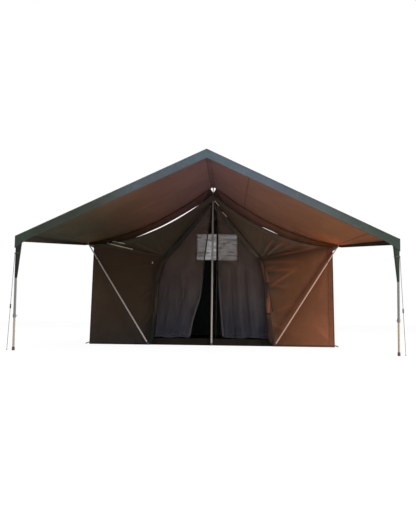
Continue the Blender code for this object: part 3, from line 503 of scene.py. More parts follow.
def thicken(made, thickness, offset=1, inner=0, rim=0):
    """Gives a skin its thickness. inner and rim are the numbers of their finishes."""
    skin = made.modifiers.new("thickness", "SOLIDIFY")
    skin.thickness = thickness
    skin.offset = offset
    skin.material_offset = inner
    skin.material_offset_rim = rim


def grid_share(place):
    return (place.xy + Vector((1, 1))) / 2


def cloth(name, columns, rows, at, size, finishes, thickness=CANVAS, body="tent",
          mirrored_rows=False, wear_and_fold_light=None):
    """A cloth panel as two skins: at(u, v) places it, and its cut size in metres is what
    its weave and stitches are laid out on. The first finish is on the side it faces. With
    mirrored rows the layout is measured from both long edges inwards. The last argument,
    a function of (u, v), gives the painted light of the folds: up to 1 for a painted
    highlight on the ridge of a fold and down to -1 for painted shade in the hollow beside it."""
    def spot(place):
        share = grid_share(place)
        across = min(share.y, 1 - share.y) if mirrored_rows else share.y
        return share.x * size[0], across * size[1]

    form = bmesh.new()
    bmesh.ops.create_grid(form, x_segments=columns, y_segments=rows, size=1)
    folds = form.verts.layers.float.new("fold")
    lay_out(form, spot)
    for vertex in form.verts:
        share = grid_share(vertex.co)
        vertex.co = at(share.x, share.y)
        vertex[folds] = wear_and_fold_light(share.x, share.y) if wear_and_fold_light else 0.0
    made = show(name, form, finishes, body, 80)
    inside = len(finishes) - 1
    thicken(made, thickness, 1, inside, inside)
    return made


def group_tree(name, inputs, outputs):
    made = bpy.data.node_groups.new(name, "ShaderNodeTree")
    for key, kind in inputs:
        made.interface.new_socket(key, in_out="INPUT", socket_type=kind)
    for key, kind in outputs:
        made.interface.new_socket(key, in_out="OUTPUT", socket_type=kind)
    return made, add(made, "NodeGroupInput").outputs, add(made, "NodeGroupOutput")


def grouped(group, **sockets):
    tree = sockets["Place"].id_data
    return add(tree, "ShaderNodeGroup", sockets, node_tree=group).outputs


def make_weave():
    """Plain weave: two crossed sets of threads, with slubs."""
    tree, given, result = group_tree("plain_weave", [("Place", "NodeSocketVector"),
                                                     ("Threads", "NodeSocketFloat")],
                                     [("Height", "NodeSocketFloat")])
    warp, weft = [add(tree, "ShaderNodeTexWave", {"Vector": given["Place"],
                                                  "Scale": given["Threads"],
                                                  "Distortion": 0.4, "Detail": 1.0},
                      bands_direction=way).outputs["Fac"] for way in ("X", "Y")]
    slub = add(tree, "ShaderNodeTexNoise", {"Vector": given["Place"], "Scale": 190.0,
                                            "Detail": 2.0}).outputs["Fac"]
    woven, soft = summed(warp, weft, "MULTIPLY"), summed(slub, 0.5, "MULTIPLY")
    feed(result, {"Height": summed(woven, soft)})
    return tree


def make_weathering():
    """Years outdoors: broad fading, blotches from rain, and dust."""
    tree, given, result = group_tree("weathering", [("Place", "NodeSocketVector")],
                                     [("Fade", "NodeSocketFloat"),
                                      ("Blotch", "NodeSocketFloat"),
                                      ("Dust", "NodeSocketFloat")])
    for key, scale, detail in (("Fade", 0.9, 3.0), ("Blotch", 4.5, 5.0), ("Dust", 26.0, 6.0)):
        cloud = add(tree, "ShaderNodeTexNoise", {"Vector": given["Place"], "Scale": scale,
                                                 "Detail": detail, "Roughness": 0.6})
        feed(result, {key: stretched(cloud.outputs["Fac"], 0.0, 1.0, 0.32, 0.68)})
    return tree


def make_stitching():
    """A row of stitches that runs along a seam, an inset away from its edge."""
    tree, given, result = group_tree("stitching", [("Place", "NodeSocketVector"),
                                                   ("Inset", "NodeSocketFloat")],
                                     [("Thread", "NodeSocketFloat")])
    dash = summed(part_of(given["Place"], "X"), 0.0045, "PINGPONG")
    stitch = summed(dash, 0.0016, "GREATER_THAN")
    away = summed(part_of(given["Place"], "Y"), given["Inset"], "SUBTRACT")
    row = summed(summed(away, 0.0, "ABSOLUTE"), 0.0007, "LESS_THAN")
    feed(result, {"Thread": summed(stitch, row, "MULTIPLY")})
    return tree


WEAVE = make_weave()
WEATHERING = make_weathering()
STITCHING = make_stitching()
THREADS_PER_METRE = 210.0
STITCH_INSET = 0.004
# Painted highlight on the ridges of cloth folds and painted shade in their hollows.
FOLD_HIGHLIGHT_TINT = (2.5, 1.50, 1.40)
FOLD_SHADE_TINT = (0.34, 0.56, 0.64)


def canvas_finish(name, dark, light, faded, roughness=0.9, tint=None, stitched=False):
    """Cotton canvas: its colour drifts between a dark and a light shade of the cloth, and
    blotches and dust bring out a faded one. tint paints light and shade into it from place
    to place, and the folds get a painted highlight on their ridges and painted shade in
    their hollows."""
    made, tree, shader = new_finish(name, roughness)
    place = object_place(tree)
    cut = add(tree, "ShaderNodeTexCoord").outputs["UV"]
    weather = grouped(WEATHERING, Place=place)
    height = grouped(WEAVE, Place=cut, Threads=THREADS_PER_METRE)["Height"]
    colour = blended(weather["Fade"], dark, light)
    wear_and_fold_light = summed(weather["Blotch"], weather["Dust"], "MULTIPLY")
    colour = blended(stretched(wear_and_fold_light, 0.0, 0.40), colour, faded)
    if tint:
        colour = tint(place, colour)
    # Painted highlight on the ridges of the folds and painted shade in their hollows.
    fold = add(tree, "ShaderNodeAttribute", attribute_name="fold").outputs["Fac"]
    colour = tinted(colour, FOLD_HIGHLIGHT_TINT, stretched(fold, 0.0, 1.0))
    colour = tinted(colour, FOLD_SHADE_TINT, stretched(fold, 1.0, 0.0, -1.0, 0.0))
    if stitched:
        thread = grouped(STITCHING, Place=cut, Inset=STITCH_INSET)["Thread"]
        colour = blended(summed(thread, 0.6, "MULTIPLY"), colour, faded)
        height = summed(height, summed(thread, 2.0, "MULTIPLY"))
    rough = stretched(weather["Dust"], roughness - 0.08, min(roughness + 0.06, 1))
    feed(shader, {"Base Color": colour, "Roughness": rough, "Specular IOR Level": 0.25})
    pucker = bumped(shader, weather["Blotch"], 0.004, 0.35)
    bumped(shader, height, 0.0004, 0.6, pucker)
    return made


def painted_light_across(stops):
    """Paints light and shade into a cloth's colour by its distance left or right of the ridge.
    """
    def tint(place, colour):
        reach = stops[-1][0]
        ramp = add(place.id_data, "ShaderNodeValToRGB",
                   {0: along(place, "X", -reach, reach, "LINEAR")})
        points = ramp.color_ramp.elements
        while len(points) < len(stops):
            points.new(0.5)
        # A ramp holds colours up to 1, so it is written at half strength and doubled.
        for point, (x, factor) in zip(points, stops):
            point.position = (x + reach) / (2 * reach)
            point.color = (*[value / 2 for value in factor], 1.0)
        return tinted(colour, blended(1.0, ramp.outputs[0], ramp.outputs[0], "ADD"))
    return tint


def seam(name, at, path, width, face, lift, finish, columns=60, body="tent"):
    """A felled seam or hem sewn on a cloth. at(a, b) is the cloth, path(s) runs over it in
    the same a and b, and face is 1 or -1 for the side of the cloth that it lies on."""
    def place(u, v):
        here, before, after = Vector(path(u)), path(max(u - 0.01, 0)), path(min(u + 0.01, 1))
        by_a = at(here.x + 0.004, here.y) - at(here.x - 0.004, here.y)
        by_b = at(here.x, here.y + 0.004) - at(here.x, here.y - 0.004)
        normal = by_a.cross(by_b).normalized() * face
        ahead = (at(*after) - at(*before)).normalized()
        across = normal.cross(ahead).normalized()
        rise = lift + 0.0004 * math.sin(math.pi * v)
        return at(*here) + across * (v - 0.5) * width + normal * rise
    length = run_length([at(*path(i / 12)) for i in range(13)])
    piece = cloth(name, columns, 4, place, (length, width), [finish], SEAM_SKIN, body,
                  mirrored_rows=True)
    return piece


OUTER_CANVAS = canvas_finish("green_outer_canvas", *GREENS)
# Painted warm light at the lining's two rear corners.
CORNER_LIGHT_TINT = (2.0, 1.45, 1.05)


def lining_tint(place, colour):
    """Painted light and shade across, and painted warm light at the two rear corners."""
    out = stretched(summed(part_of(place, "X"), 0.0, "ABSOLUTE"), 0.0, 1.0, 1.5, 2.0)
    corner = summed(out, along(place, "Y", -1.1, -0.2), "MULTIPLY")
    return tinted(painted_light_across(LINING_LIGHT_AND_SHADE)(place, colour), CORNER_LIGHT_TINT, corner)


LINING = canvas_finish("brown_lining", *LINING_BROWNS, tint=lining_tint)
OUTER_SEAM = canvas_finish("green_seam", *GREENS, stitched=True)
LINING_SEAM = canvas_finish("shaded_lining_seam", *SHADED_SEAM_BROWNS, tint=lining_tint,
                            stitched=True)
CROSS_SEAM = canvas_finish("highlighted_cross_seam", *HIGHLIGHTED_SEAM_BROWNS, tint=lining_tint,
                           stitched=True)

awning = cloth("awning_sheet", 200, 76, awning_at, (5.45, 2.70), [OUTER_CANVAS, LINING])
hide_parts("awning_canopy")

CROSS_SEAM_Y = -1.13
CROSS_SEAM_HALF = 2.27
WIDTH_SEAMS_X = (-2.02, -0.52, 0.52, 2.02)
WIDTH_SEAM_SPREAD = 1.10


def sew_awning():
    """The seams show on both faces: one across the middle and four that run back."""
    def cross(s):
        return mix(-CROSS_SEAM_HALF, CROSS_SEAM_HALF, s), CROSS_SEAM_Y + 0.05 * abs(2 * s - 1)

    runs = [("cross", cross, 120, CROSS_SEAM)]
    for number, x in enumerate(WIDTH_SEAMS_X):
        run = straight((x * WIDTH_SEAM_SPREAD, AWNING_FRONT_EDGE_Y + 0.03),
                       (x, AWNING_REAR_Y - 0.01))
        finish = LINING if number == 1 else LINING_SEAM
        runs.append(("width_%d" % (number + 1), run, 60, finish))
    for label, run, columns, finish in runs:
        for side, face, lift, canvas in (("under", -1, UNDER_LIFT, finish),
                                         ("upper", 1, OUTER_LIFT, OUTER_SEAM)):
            seam("awning_seam_%s_%s" % (side, label), awning_place, run,
                 SEAM_WIDTH, face, lift, canvas, columns)


sew_awning()

# Ridge sleeve of the awning. A strip of the lining is sewn under the ridge, so that the
# ridge tube slides through it like a curtain rod.
SLEEVE_CLEARANCE = 0.0012
SLEEVE_PUCKER = 0.0012
SLEEVE_HUG_SHARE = 0.7
SLEEVE_HUG_ANGLE = math.radians(80)
RIDGE_SLEEVE_SKIN = 0.0008
RIDGE_SLEEVE_HALF = 0.036
RIDGE_SLEEVE_START_Y = LEG_Y + 0.06
RIDGE_SLEEVE_END_Y = FRONT_WALL_Y - 0.010


def ridge_sleeve_at(u, v):
    """u runs under the tube from right to left, v towards the rear."""
    y = mix(RIDGE_SLEEVE_START_Y, RIDGE_SLEEVE_END_Y, v)
    pucker = SLEEVE_PUCKER * drift(u * 3, y * 6, 1.0)
    hug = POLE_RADIUS + SLEEVE_CLEARANCE + pucker
    across = 1 - 2 * u
    bend = SLEEVE_HUG_ANGLE * min(abs(across) / SLEEVE_HUG_SHARE, 1)
    flange = max(abs(across) - SLEEVE_HUG_SHARE, 0) / (1 - SLEEVE_HUG_SHARE)
    x = mix(hug * math.sin(bend), RIDGE_SLEEVE_HALF, flange)
    cloth_z = awning_place(x, y).z - UNDER_LIFT - SLEEVE_CLEARANCE
    z = mix(AWNING_TUBE_Z - hug * math.cos(bend), cloth_z, flange)
    return Vector((math.copysign(x, across), y, z))


ridge_sleeve = cloth("awning_ridge_sleeve", 28, 60, ridge_sleeve_at, (0.11, 2.4),
                     [LINING_SEAM], RIDGE_SLEEVE_SKIN)

# Inner roof. The tent's own roof hangs on the lower ridge tube between the two uprights,
# slacker in front than behind, and reaches a little past all four walls.
ROOF_HALF = 2.05
ROOF_TUBE_Z = RIDGE_HEIGHT - CANVAS - RIDGE_HUG
ROOF_EAVE_Z = 1.62
ROOF_FRONT_Y = FRONT_WALL_Y - 0.058
ROOF_BACK_Y = REAR_WALL_Y + 0.058
ROOF_SAG_FRONT, ROOF_SAG_REAR = 0.205, 0.05
ROOF_HEM_INSET = 0.013
ROOF_HEM_REACH = 2.03
ROOF_HEM_WIDTH = 0.024
MIDDLE_SEAM_Y = 1.25
ROOF_FOLDS = (
    ((2.03, -0.03), (1.30, 0.70), 0.05, 0.014), ((2.03, 2.73), (1.35, 2.05), 0.05, 0.012),
    ((2.03, -0.03), (1.75, 0.95), 0.05, 0.010), ((0.05, 0.02), (0.50, 0.75), 0.04, 0.010),
    ((0.05, 2.68), (0.45, 2.0), 0.04, 0.010), ((2.03, 2.73), (1.80, 1.90), 0.05, 0.010),
)


def roof_sag(y):
    share = (y - ROOF_FRONT_Y) / (ROOF_BACK_Y - ROOF_FRONT_Y)
    return mix(ROOF_SAG_FRONT, ROOF_SAG_REAR, share)


def roof_under(x, y):
    return slung_height(x, ROOF_HALF, ROOF_TUBE_Z, ROOF_EAVE_Z, roof_sag(y))


def roof_slack(x, y):
    spot = Vector((abs(x), y - FRONT_WALL_Y))
    folds = creased(spot, ROOF_FOLDS)
    billow = 0.010 * drift(x * 1.4, y * 1.2, 11.3)
    free = eased(abs(x), 0.03, 0.25) * eased(1.96 - abs(x), 0.0, 0.25)
    ends = eased(y, FRONT_WALL_Y + 0.02, FRONT_WALL_Y + 0.3)
    return (folds + billow + 0.010) * free * ends * eased(REAR_WALL_Y - y, 0.02, 0.3)


def inner_roof_at(u, v):
    share, side = abs(2 * u - 1), math.copysign(1, 2 * u - 1)
    y = mix(ROOF_FRONT_Y, ROOF_BACK_Y, v)
    x, z = slung(share, ROOF_HALF, ROOF_TUBE_Z, ROOF_EAVE_Z, roof_sag(y))
    return Vector((side * x, y, z + roof_slack(side * x, y)))


def roof_place(x, y):
    return Vector((x, y, roof_under(x, y) + roof_slack(x, y)))


INSIDE_CANVAS = canvas_finish("dark_inside_of_canvas", (0.052, 0.074, 0.062),
                              (0.080, 0.108, 0.092), (0.100, 0.122, 0.104))
inner_roof = cloth("inner_roof_sheet", 132, 66, inner_roof_at, (4.55, 2.82),
                   [OUTER_CANVAS, INSIDE_CANVAS])
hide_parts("inner_roof")

for label, seam_y in (("front", ROOF_FRONT_Y + ROOF_HEM_INSET),
                      ("rear", ROOF_BACK_Y - ROOF_HEM_INSET), ("middle", MIDDLE_SEAM_Y)):
    seam("inner_roof_hem_" + label, roof_place,
         straight((-ROOF_HEM_REACH, seam_y), (ROOF_HEM_REACH, seam_y)), ROOF_HEM_WIDTH, 1,
         OUTER_LIFT, OUTER_SEAM, 110)

# Rear band of the awning. A strip of the lining is sewn along the awning's rear edge and
# hangs down almost to the tent's own roof. It leaves a small V of daylight at the ridge, a
# long slit on the left and a short one on the right.
BAND_LEAST_GAP = 0.012
SKY_GAPS = {-1: 0.028, 1: 0.013}
BAND_START_X = (0.050, 0.085)
BAND_SKIN = 0.0015
BAND_BELLY = 0.010
SLITS = {-1: (0.10, 0.36, 0.92, 1.44), 1: (0.76, 0.88, 0.98, 1.16)}


def band_depth(x, side, z):
    start, wide, narrow, end = SLITS[side]
    slit = eased(x, start, wide) * (1 - eased(x, narrow, end))
    gap = BAND_LEAST_GAP + SKY_GAPS[side] * slit
    full = z - roof_under(x, AWNING_REAR_Y) - CANVAS - gap
    return max(full * eased(x, *BAND_START_X), 0.004)


def rear_band_at(u, v):
    """The band bellies forward a little, like a half rolled blind."""
    top = awning_at(u, 1)
    side = math.copysign(1, 2 * u - 1)
    depth = band_depth(abs(top.x), side, top.z - awning_slack(top.x, top.y))
    belly = math.sin(math.pi * (1 - v)) * min(depth * 0.15, BAND_BELLY)
    y = top.y - belly * eased(abs(top.x), 0.10, 0.30)
    return Vector((top.x, y, top.z - depth * (1 - v)))


BAND_CANVAS = canvas_finish("rear_band", (0.150, 0.072, 0.050), (0.19, 0.090, 0.064),
                            LINING_FADED, tint=lining_tint)
rear_band = cloth("awning_rear_band", 260, 10, rear_band_at, (4.65, 0.12),
                  [BAND_CANVAS, OUTER_CANVAS], BAND_SKIN)

# Valance. A strip of green canvas, hemmed below and sewn round the front and both sides of
# the awning. It hides the rafters, is deepest at the corners over the leg connectors, and
# narrows towards the rear.
VALANCE_DEPTH = 0.12
VALANCE_CORNER_DEPTH = 0.158
SIDE_HEM_DEPTH = 0.032
SIDE_HEM_FRONT_DEPTH = 0.072
CORNER_LAP = 0.22
# Painted light and shade along the valance from the left to the right: shaded at the ends, lit
# and bluer in the middle.
VALANCE_LIGHT_AND_SHADE = (
    (-2.5, (0.55, 0.66, 0.58)), (-2.15, (0.44, 0.45, 0.36)), (-1.85, (0.52, 0.50, 0.46)),
    (-1.36, (0.74, 0.66, 0.62)), (-1.04, (1.02, 1.05, 1.30)), (-0.6, (1.40, 1.36, 1.85)),
    (0.0, (1.30, 1.50, 2.00)), (0.6, (1.34, 1.36, 1.95)), (1.05, (1.12, 1.12, 1.55)),
    (1.5, (1.16, 1.14, 1.35)), (1.9, (0.95, 0.98, 1.05)), (2.2, (0.66, 0.72, 0.70)),
    (2.5, (0.48, 0.60, 0.55)),
)


def valance_at(u, v):
    across, side = 2 * u - 1, math.copysign(1, 2 * u - 1)
    run = abs(across) / 0.5
    wave = 0.0
    if run <= 1:
        half, tube_z, eave, sag = awning_section(0)
        x, y = run * AWNING_FRONT_HALF, FRONT_Y + CANVAS
        top = slung_height(min(x, half), half, tube_z, eave, sag)
        drop = mix(VALANCE_DEPTH, VALANCE_CORNER_DEPTH, eased(run, 0.93, 1.0))
        wave = 0.0035 * drift(side * x * 4.0, 2.3, v)
    else:
        half, tube_z, eave, sag = awning_section(run - 1)
        x, y = half + CANVAS + SEAM_GAP, mix(FRONT_Y + CANVAS, AWNING_REAR_Y, run - 1)
        top = eave
        near = 1 - eased(y - FRONT_Y, 0.02, CORNER_LAP)
        drop = mix(SIDE_HEM_FRONT_DEPTH, SIDE_HEM_DEPTH, run - 1)
        drop = mix(drop, VALANCE_CORNER_DEPTH, near)
    return Vector((side * x, y + wave * (1 - v), top + CANVAS - drop * (1 - v)))


VALANCE_GREENS = ((0.055, 0.073, 0.063), (0.080, 0.100, 0.088), (0.14, 0.16, 0.15))
VALANCE_CANVAS = canvas_finish("green_valance", *VALANCE_GREENS,
                               tint=painted_light_across(VALANCE_LIGHT_AND_SHADE))
VALANCE_HEM = canvas_finish("green_valance_hem", *VALANCE_GREENS,
                            tint=painted_light_across(VALANCE_LIGHT_AND_SHADE), stitched=True)
VALANCE_INSIDE = canvas_finish("valance_inside", (0.016, 0.012, 0.008), (0.026, 0.019, 0.013),
                               (0.045, 0.034, 0.025))
valance = cloth("valance_strip", 260, 10, valance_at, (10.9, 0.12),
                [VALANCE_CANVAS, VALANCE_INSIDE])
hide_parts("awning_valance")
for label, row, width in (("lower", 0.10, 0.018), ("upper", 0.90, 0.012)):
    for part, start, end in (("front", 0.258, 0.742), ("left", 0.010, 0.242),
                             ("right", 0.758, 0.990)):
        seam("valance_hem_%s_%s" % (label, part), valance_at,
             straight((start, row), (end, row)), width, 1, OUTER_LIFT, VALANCE_HEM, 130)

# Front wall. Two halves of brown canvas, cut away for the doorway, with a gable piece sewn
# on above the eave line. The rolled doors pull on them, so folds fan out from the ties. The
# walls are pegged out a little wider at the ground than they are at the eaves.
DOOR_FOOT_X = 1.00
DOOR_TIE_X = 0.80
DOOR_TIE_Z = 1.46
DOOR_APEX_Z = RIDGE_HEIGHT - 0.09
WALL_LEAN = 0.035
TENT_HALF = 2.0
WALL_OUTER_X = TENT_HALF - CANVAS - SEAM_GAP
WALL_TOP_X = WALL_OUTER_X - WALL_LEAN
WALL_CLEARANCE = 0.003
WALL_BASE_SLACK = 0.018
WALL_FOLD_STRENGTH = 1.8
WALL_FOLD_LIMIT = 0.050
BROWNS = ((0.100, 0.042, 0.022), (0.130, 0.054, 0.028), (0.175, 0.088, 0.052))
# Painted light and shade across the front wall from the left to the right, shaded on the left
# and lit on the right. The gable tints are partly the gable's greener cloth and partly painted
# light; the foot tints are painted shade on the left and painted light on the right.
WALL_LIGHT_AND_SHADE = ((-2.1, (0.50, 0.72, 0.82)), (-1.2, (0.48, 0.70, 0.74)),
               (-0.4, (0.54, 0.70, 0.78)), (0.0, (0.66, 0.76, 0.96)), (0.4, (0.72, 0.84, 0.86)),
               (0.9, (0.74, 0.84, 0.84)), (1.3, (0.98, 0.88, 0.72)), (2.1, (1.46, 1.32, 1.22)))
GABLE_GREEN_AND_LIGHT = ((1.15, 1.55, 1.75), (1.45, 2.20, 2.90))
EAVE_SEAM_SLOPE = 0.17
SIDE_TINT = (0.95, 0.98, 0.92)
FOOT_SHADE_AND_LIGHT = ((0.52, 0.62, 0.80), (1.40, 1.36, 1.36))


def door_edge_x(z):
    if z <= DOOR_TIE_Z:
        return mix(DOOR_FOOT_X, DOOR_TIE_X, z / DOOR_TIE_Z)
    rise = min((z - DOOR_TIE_Z) / (DOOR_APEX_Z - DOOR_TIE_Z), 1)
    return mix(DOOR_TIE_X, SEAM_GAP, rise)


def gable_top(x, y):
    return roof_under(x, y) - WALL_CLEARANCE


def route(points, share):
    spot = min(max(share, 0), 1) * (len(points) - 1)
    index = min(int(spot), len(points) - 2)
    return mix(points[index], points[index + 1], spot - index)


# Folds of the two halves, each from a spot to another as (out from the ridge, up), with its
# width and how far it stands out.
WALL_FOLDS = {
    "right": (
        ((0.77, 1.43), (1.84, 1.655), 0.024, 0.030), ((0.80, 1.45), (0.99, 1.76), 0.028, 0.026),
        ((0.86, 1.46), (1.19, 1.74), 0.032, 0.024), ((0.95, 1.50), (1.42, 1.70), 0.026, 0.009),
        ((0.76, 1.50), (0.80, 1.90), 0.026, 0.012), ((0.82, 1.225), (1.34, 1.262), 0.03, 0.013),
        ((0.94, 0.97), (1.40, 1.29), 0.034, 0.014), ((0.80, 1.215), (1.06, 1.32), 0.026, 0.014),
        ((0.92, 0.985), (1.26, 0.965), 0.026, 0.01), ((0.84, 1.37), (1.50, 1.40), 0.034, 0.008),
        ((0.92, 0.53), (1.45, 0.72), 0.040, 0.005), ((0.93, 0.40), (1.30, 0.20), 0.040, 0.005),
        ((1.93, 1.58), (1.70, 0.60), 0.050, 0.003), ((1.98, 0.04), (1.62, 0.40), 0.050, 0.003),
    ),
    "left": (
        ((0.86, 1.46), (1.80, 1.66), 0.024, 0.020), ((0.82, 1.47), (1.38, 1.74), 0.030, 0.012),
        ((0.80, 1.48), (1.05, 1.92), 0.030, 0.012), ((0.72, 1.56), (0.80, 2.00), 0.028, 0.010),
        ((0.86, 1.36), (1.40, 1.24), 0.036, 0.008), ((0.96, 0.88), (1.18, 0.74), 0.030, 0.018),
        ((0.94, 0.54), (1.14, 0.30), 0.030, 0.018), ((0.93, 0.95), (1.30, 0.98), 0.030, 0.008),
        ((1.93, 1.58), (1.72, 0.60), 0.050, 0.003), ((1.98, 0.04), (1.62, 0.40), 0.050, 0.003),
    ),
}


def wall_slack(label, x, z):
    """How far the wall lies behind its plane at a spot: folds stand out of a slow billow."""
    spot = Vector((x, z))
    folds = creased(spot, WALL_FOLDS[label])
    seed = 5.0 if label == "left" else 9.0
    billow = 0.010 * drift(x * 1.7, z * 1.5, seed)
    ripple = 0.003 * drift(x * 6.0, z * 5.0, seed)
    jamb = eased(x - door_edge_x(z), 0.0, 0.10)
    outer = mix(WALL_OUTER_X, WALL_TOP_X, min(z / ROOF_EAVE_Z, 1))
    held = eased(outer - x, 0.0, 0.12) * eased(z, 0.0, 0.08)
    top = eased(gable_top(x, FRONT_WALL_Y) - z, 0.0, 0.08)
    folds = min(folds * WALL_FOLD_STRENGTH, WALL_FOLD_LIMIT)
    return (WALL_BASE_SLACK + billow + ripple - folds) * jamb * held * top


def front_wall_flat(near, v):
    """(x, z) of the half wall as cut: near 0 is its door edge, near 1 its outer edge."""
    gable_z = gable_top(0, FRONT_WALL_Y)
    inner_z = route([0, DOOR_TIE_Z, DOOR_APEX_Z, gable_z], v)
    eave_z = gable_top(WALL_TOP_X, FRONT_WALL_Y)
    top_x = mix(SEAM_GAP, WALL_TOP_X, near)
    foot = Vector((mix(DOOR_FOOT_X, WALL_OUTER_X, near), 0))
    high = Vector((top_x, gable_top(top_x, FRONT_WALL_Y)))
    door = Vector((door_edge_x(inner_z), inner_z))
    outer = Vector((mix(WALL_OUTER_X, WALL_TOP_X, v), eave_z * v))
    corners = foot * (1 - v) + Vector((top_x, mix(gable_z, eave_z, near))) * v
    return foot * (1 - v) + high * v + door * (1 - near) + outer * near - corners


def front_wall_place(label, side):
    """The wall's back face over a spot of its plane."""
    return lambda x, z: Vector((side * x, FRONT_WALL_Y + CANVAS + wall_slack(label, x, z), z))


def wall_tint(place, colour):
    """Painted light and shade across the front: shaded dark on the left, lit warm brown on the
    right. The gable above the eave seam is greener, partly its own cloth and partly painted
    light, and the foot has painted shade on the left and painted light on the right. The
    other walls are even."""
    shaded = painted_light_across(WALL_LIGHT_AND_SHADE)(place, colour)
    out = summed(part_of(place, "X"), 0.0, "ABSOLUTE")
    rise = summed(summed(out, DOOR_TIE_X, "SUBTRACT"), EAVE_SEAM_SLOPE, "MULTIPLY")
    over = summed(summed(part_of(place, "Z"), DOOR_TIE_Z, "SUBTRACT"), rise, "SUBTRACT")
    gable = stretched(over, 0.0, 1.0, -0.02, 0.03, "SMOOTHSTEP")
    top = blended(along(place, "X", -0.5, 0.8, "LINEAR"), *GABLE_GREEN_AND_LIGHT)
    foot = blended(along(place, "X", -0.5, 1.9, "LINEAR"), *FOOT_SHADE_AND_LIGHT)
    shaded = tinted(tinted(shaded, top, gable), foot, along(place, "Z", 0.9, 0.0))
    return blended(along(place, "Y", FRONT_WALL_Y, 0.4), shaded, tinted(colour, SIDE_TINT))


WALL_CANVAS = canvas_finish("brown_wall_canvas", *BROWNS, tint=wall_tint)
WALL_SEAM = canvas_finish("brown_wall_seam", *BROWNS, tint=wall_tint, stitched=True)
FOOT_BINDING = canvas_finish("foot_binding", (0.045, 0.023, 0.015), (0.060, 0.031, 0.020),
                             (0.10, 0.06, 0.042), 0.85, wall_tint, True)
BINDING = canvas_finish("dark_binding", (0.020, 0.014, 0.010), (0.034, 0.024, 0.017),
                        (0.06, 0.045, 0.034), 0.85)


def front_wall(label, side):
    place = front_wall_place(label, side)

    # Painted light of the folds, and painted shade beside the door below the ties.
    def wear_and_fold_light(u, v):
        spot = Vector(front_wall_flat(u if side > 0 else 1 - u, v))
        near_door = math.exp(-max(spot.x - door_edge_x(spot.y), 0) / 0.16)
        low = 1 - eased(spot.y, 1.2, 1.5)
        folds = painted_fold_light(spot, WALL_FOLDS[label], 0.020 if side > 0 else 0.045)
        return max(folds - (0.15 if side > 0 else 0.35) * near_door * low, -1)

    wall = cloth("front_wall_sheet_" + label, 160, 180,
                 lambda u, v: place(*front_wall_flat(u if side > 0 else 1 - u, v)),
                 (2.0, 2.46), [WALL_CANVAS, INSIDE_CANVAS], wear_and_fold_light=wear_and_fold_light)
    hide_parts("front_wall_" + label)

    def jamb(s):
        z = mix(0.01, DOOR_APEX_Z - 0.03, s)
        return door_edge_x(z) + 0.007, z

    for part, path, width, finish, columns in (
            # The jamb binding is dark webbing that also stands as painted shade where the roll
            # meets the wall.
            ("jamb", jamb, 0.012, BINDING, 120),
            ("eave", straight((0.86, 1.475), (1.90, 1.640)), SEAM_WIDTH, WALL_SEAM, 70),
            ("foot", straight((1.02, 0.017), (1.985, 0.017)), 0.030, FOOT_BINDING, 70),
            ("corner", straight((1.925, 0.01), (1.895, 1.600)), 0.018, WALL_SEAM, 70),
            ("edge", straight((1.990, 0.01), (1.957, 1.590)), 0.012, FOOT_BINDING, 70)):
        seam("front_wall_%s_%s" % (part, label), place, path, width, side,
             OUTER_LIFT, finish, columns)


for label, side in SIDES:
    front_wall(label, side)

# Side and rear walls. Plain brown canvas from the eaves to the ground, a little slack
# between the pegs. The rear wall is a full gable, cut out for a gauze window high up.
SIDE_FOLDS = (
    ((0.02, 1.58), (0.70, 0.60), 0.05, 0.016), ((2.68, 1.58), (2.05, 0.70), 0.05, 0.016),
    ((0.02, 0.04), (0.55, 0.55), 0.05, 0.012), ((2.68, 0.04), (2.15, 0.50), 0.05, 0.012),
    ((1.35, 0.03), (1.30, 0.55), 0.05, 0.010), ((0.70, 0.03), (0.78, 0.42), 0.04, 0.008),
    ((2.00, 0.03), (1.92, 0.42), 0.04, 0.008), ((1.35, 1.60), (1.40, 1.10), 0.06, 0.010),
)
SIDE_SEAM_ENDS = (0.02, 1.58)
FOOT_HEM_Z = 0.016
WINDOW_HALF = 0.40
WINDOW_MIDDLE_Z = RIDGE_HEIGHT - 0.59
WINDOW_REACH_Z = 0.26
WINDOW_SEAM_OUT = 0.012
WINDOW_SEAM_PAST = 0.03
REAR_FOLDS = (
    ((1.92, 1.56), (1.10, 1.10), 0.05, 0.014), ((1.98, 0.04), (1.40, 0.60), 0.05, 0.012),
    ((0.46, 1.60), (1.00, 1.20), 0.04, 0.012), ((0.42, 2.16), (0.90, 1.95), 0.03, 0.010),
    ((1.00, 0.03), (0.95, 0.55), 0.05, 0.010),
)


def side_wall_place(side):
    def place(y, z):
        top = gable_top(TENT_HALF - WALL_LEAN, y)
        spot = Vector((y - FRONT_WALL_Y, z))
        folds = creased(spot, SIDE_FOLDS)
        billow = 0.012 + 0.010 * drift(y * 1.5, z * 1.3, 14.0 * side)
        ends = min(y - FRONT_WALL_Y, REAR_WALL_Y - y)
        free = eased(ends, 0.0, 0.12) * eased(z, 0.11, 0.30) * eased(top - z, 0.0, 0.12)
        slack = max(billow + 0.012 - folds, 0.0) * free
        return Vector((side * (TENT_HALF - CANVAS - WALL_LEAN * z / top - slack), y, z))
    return place


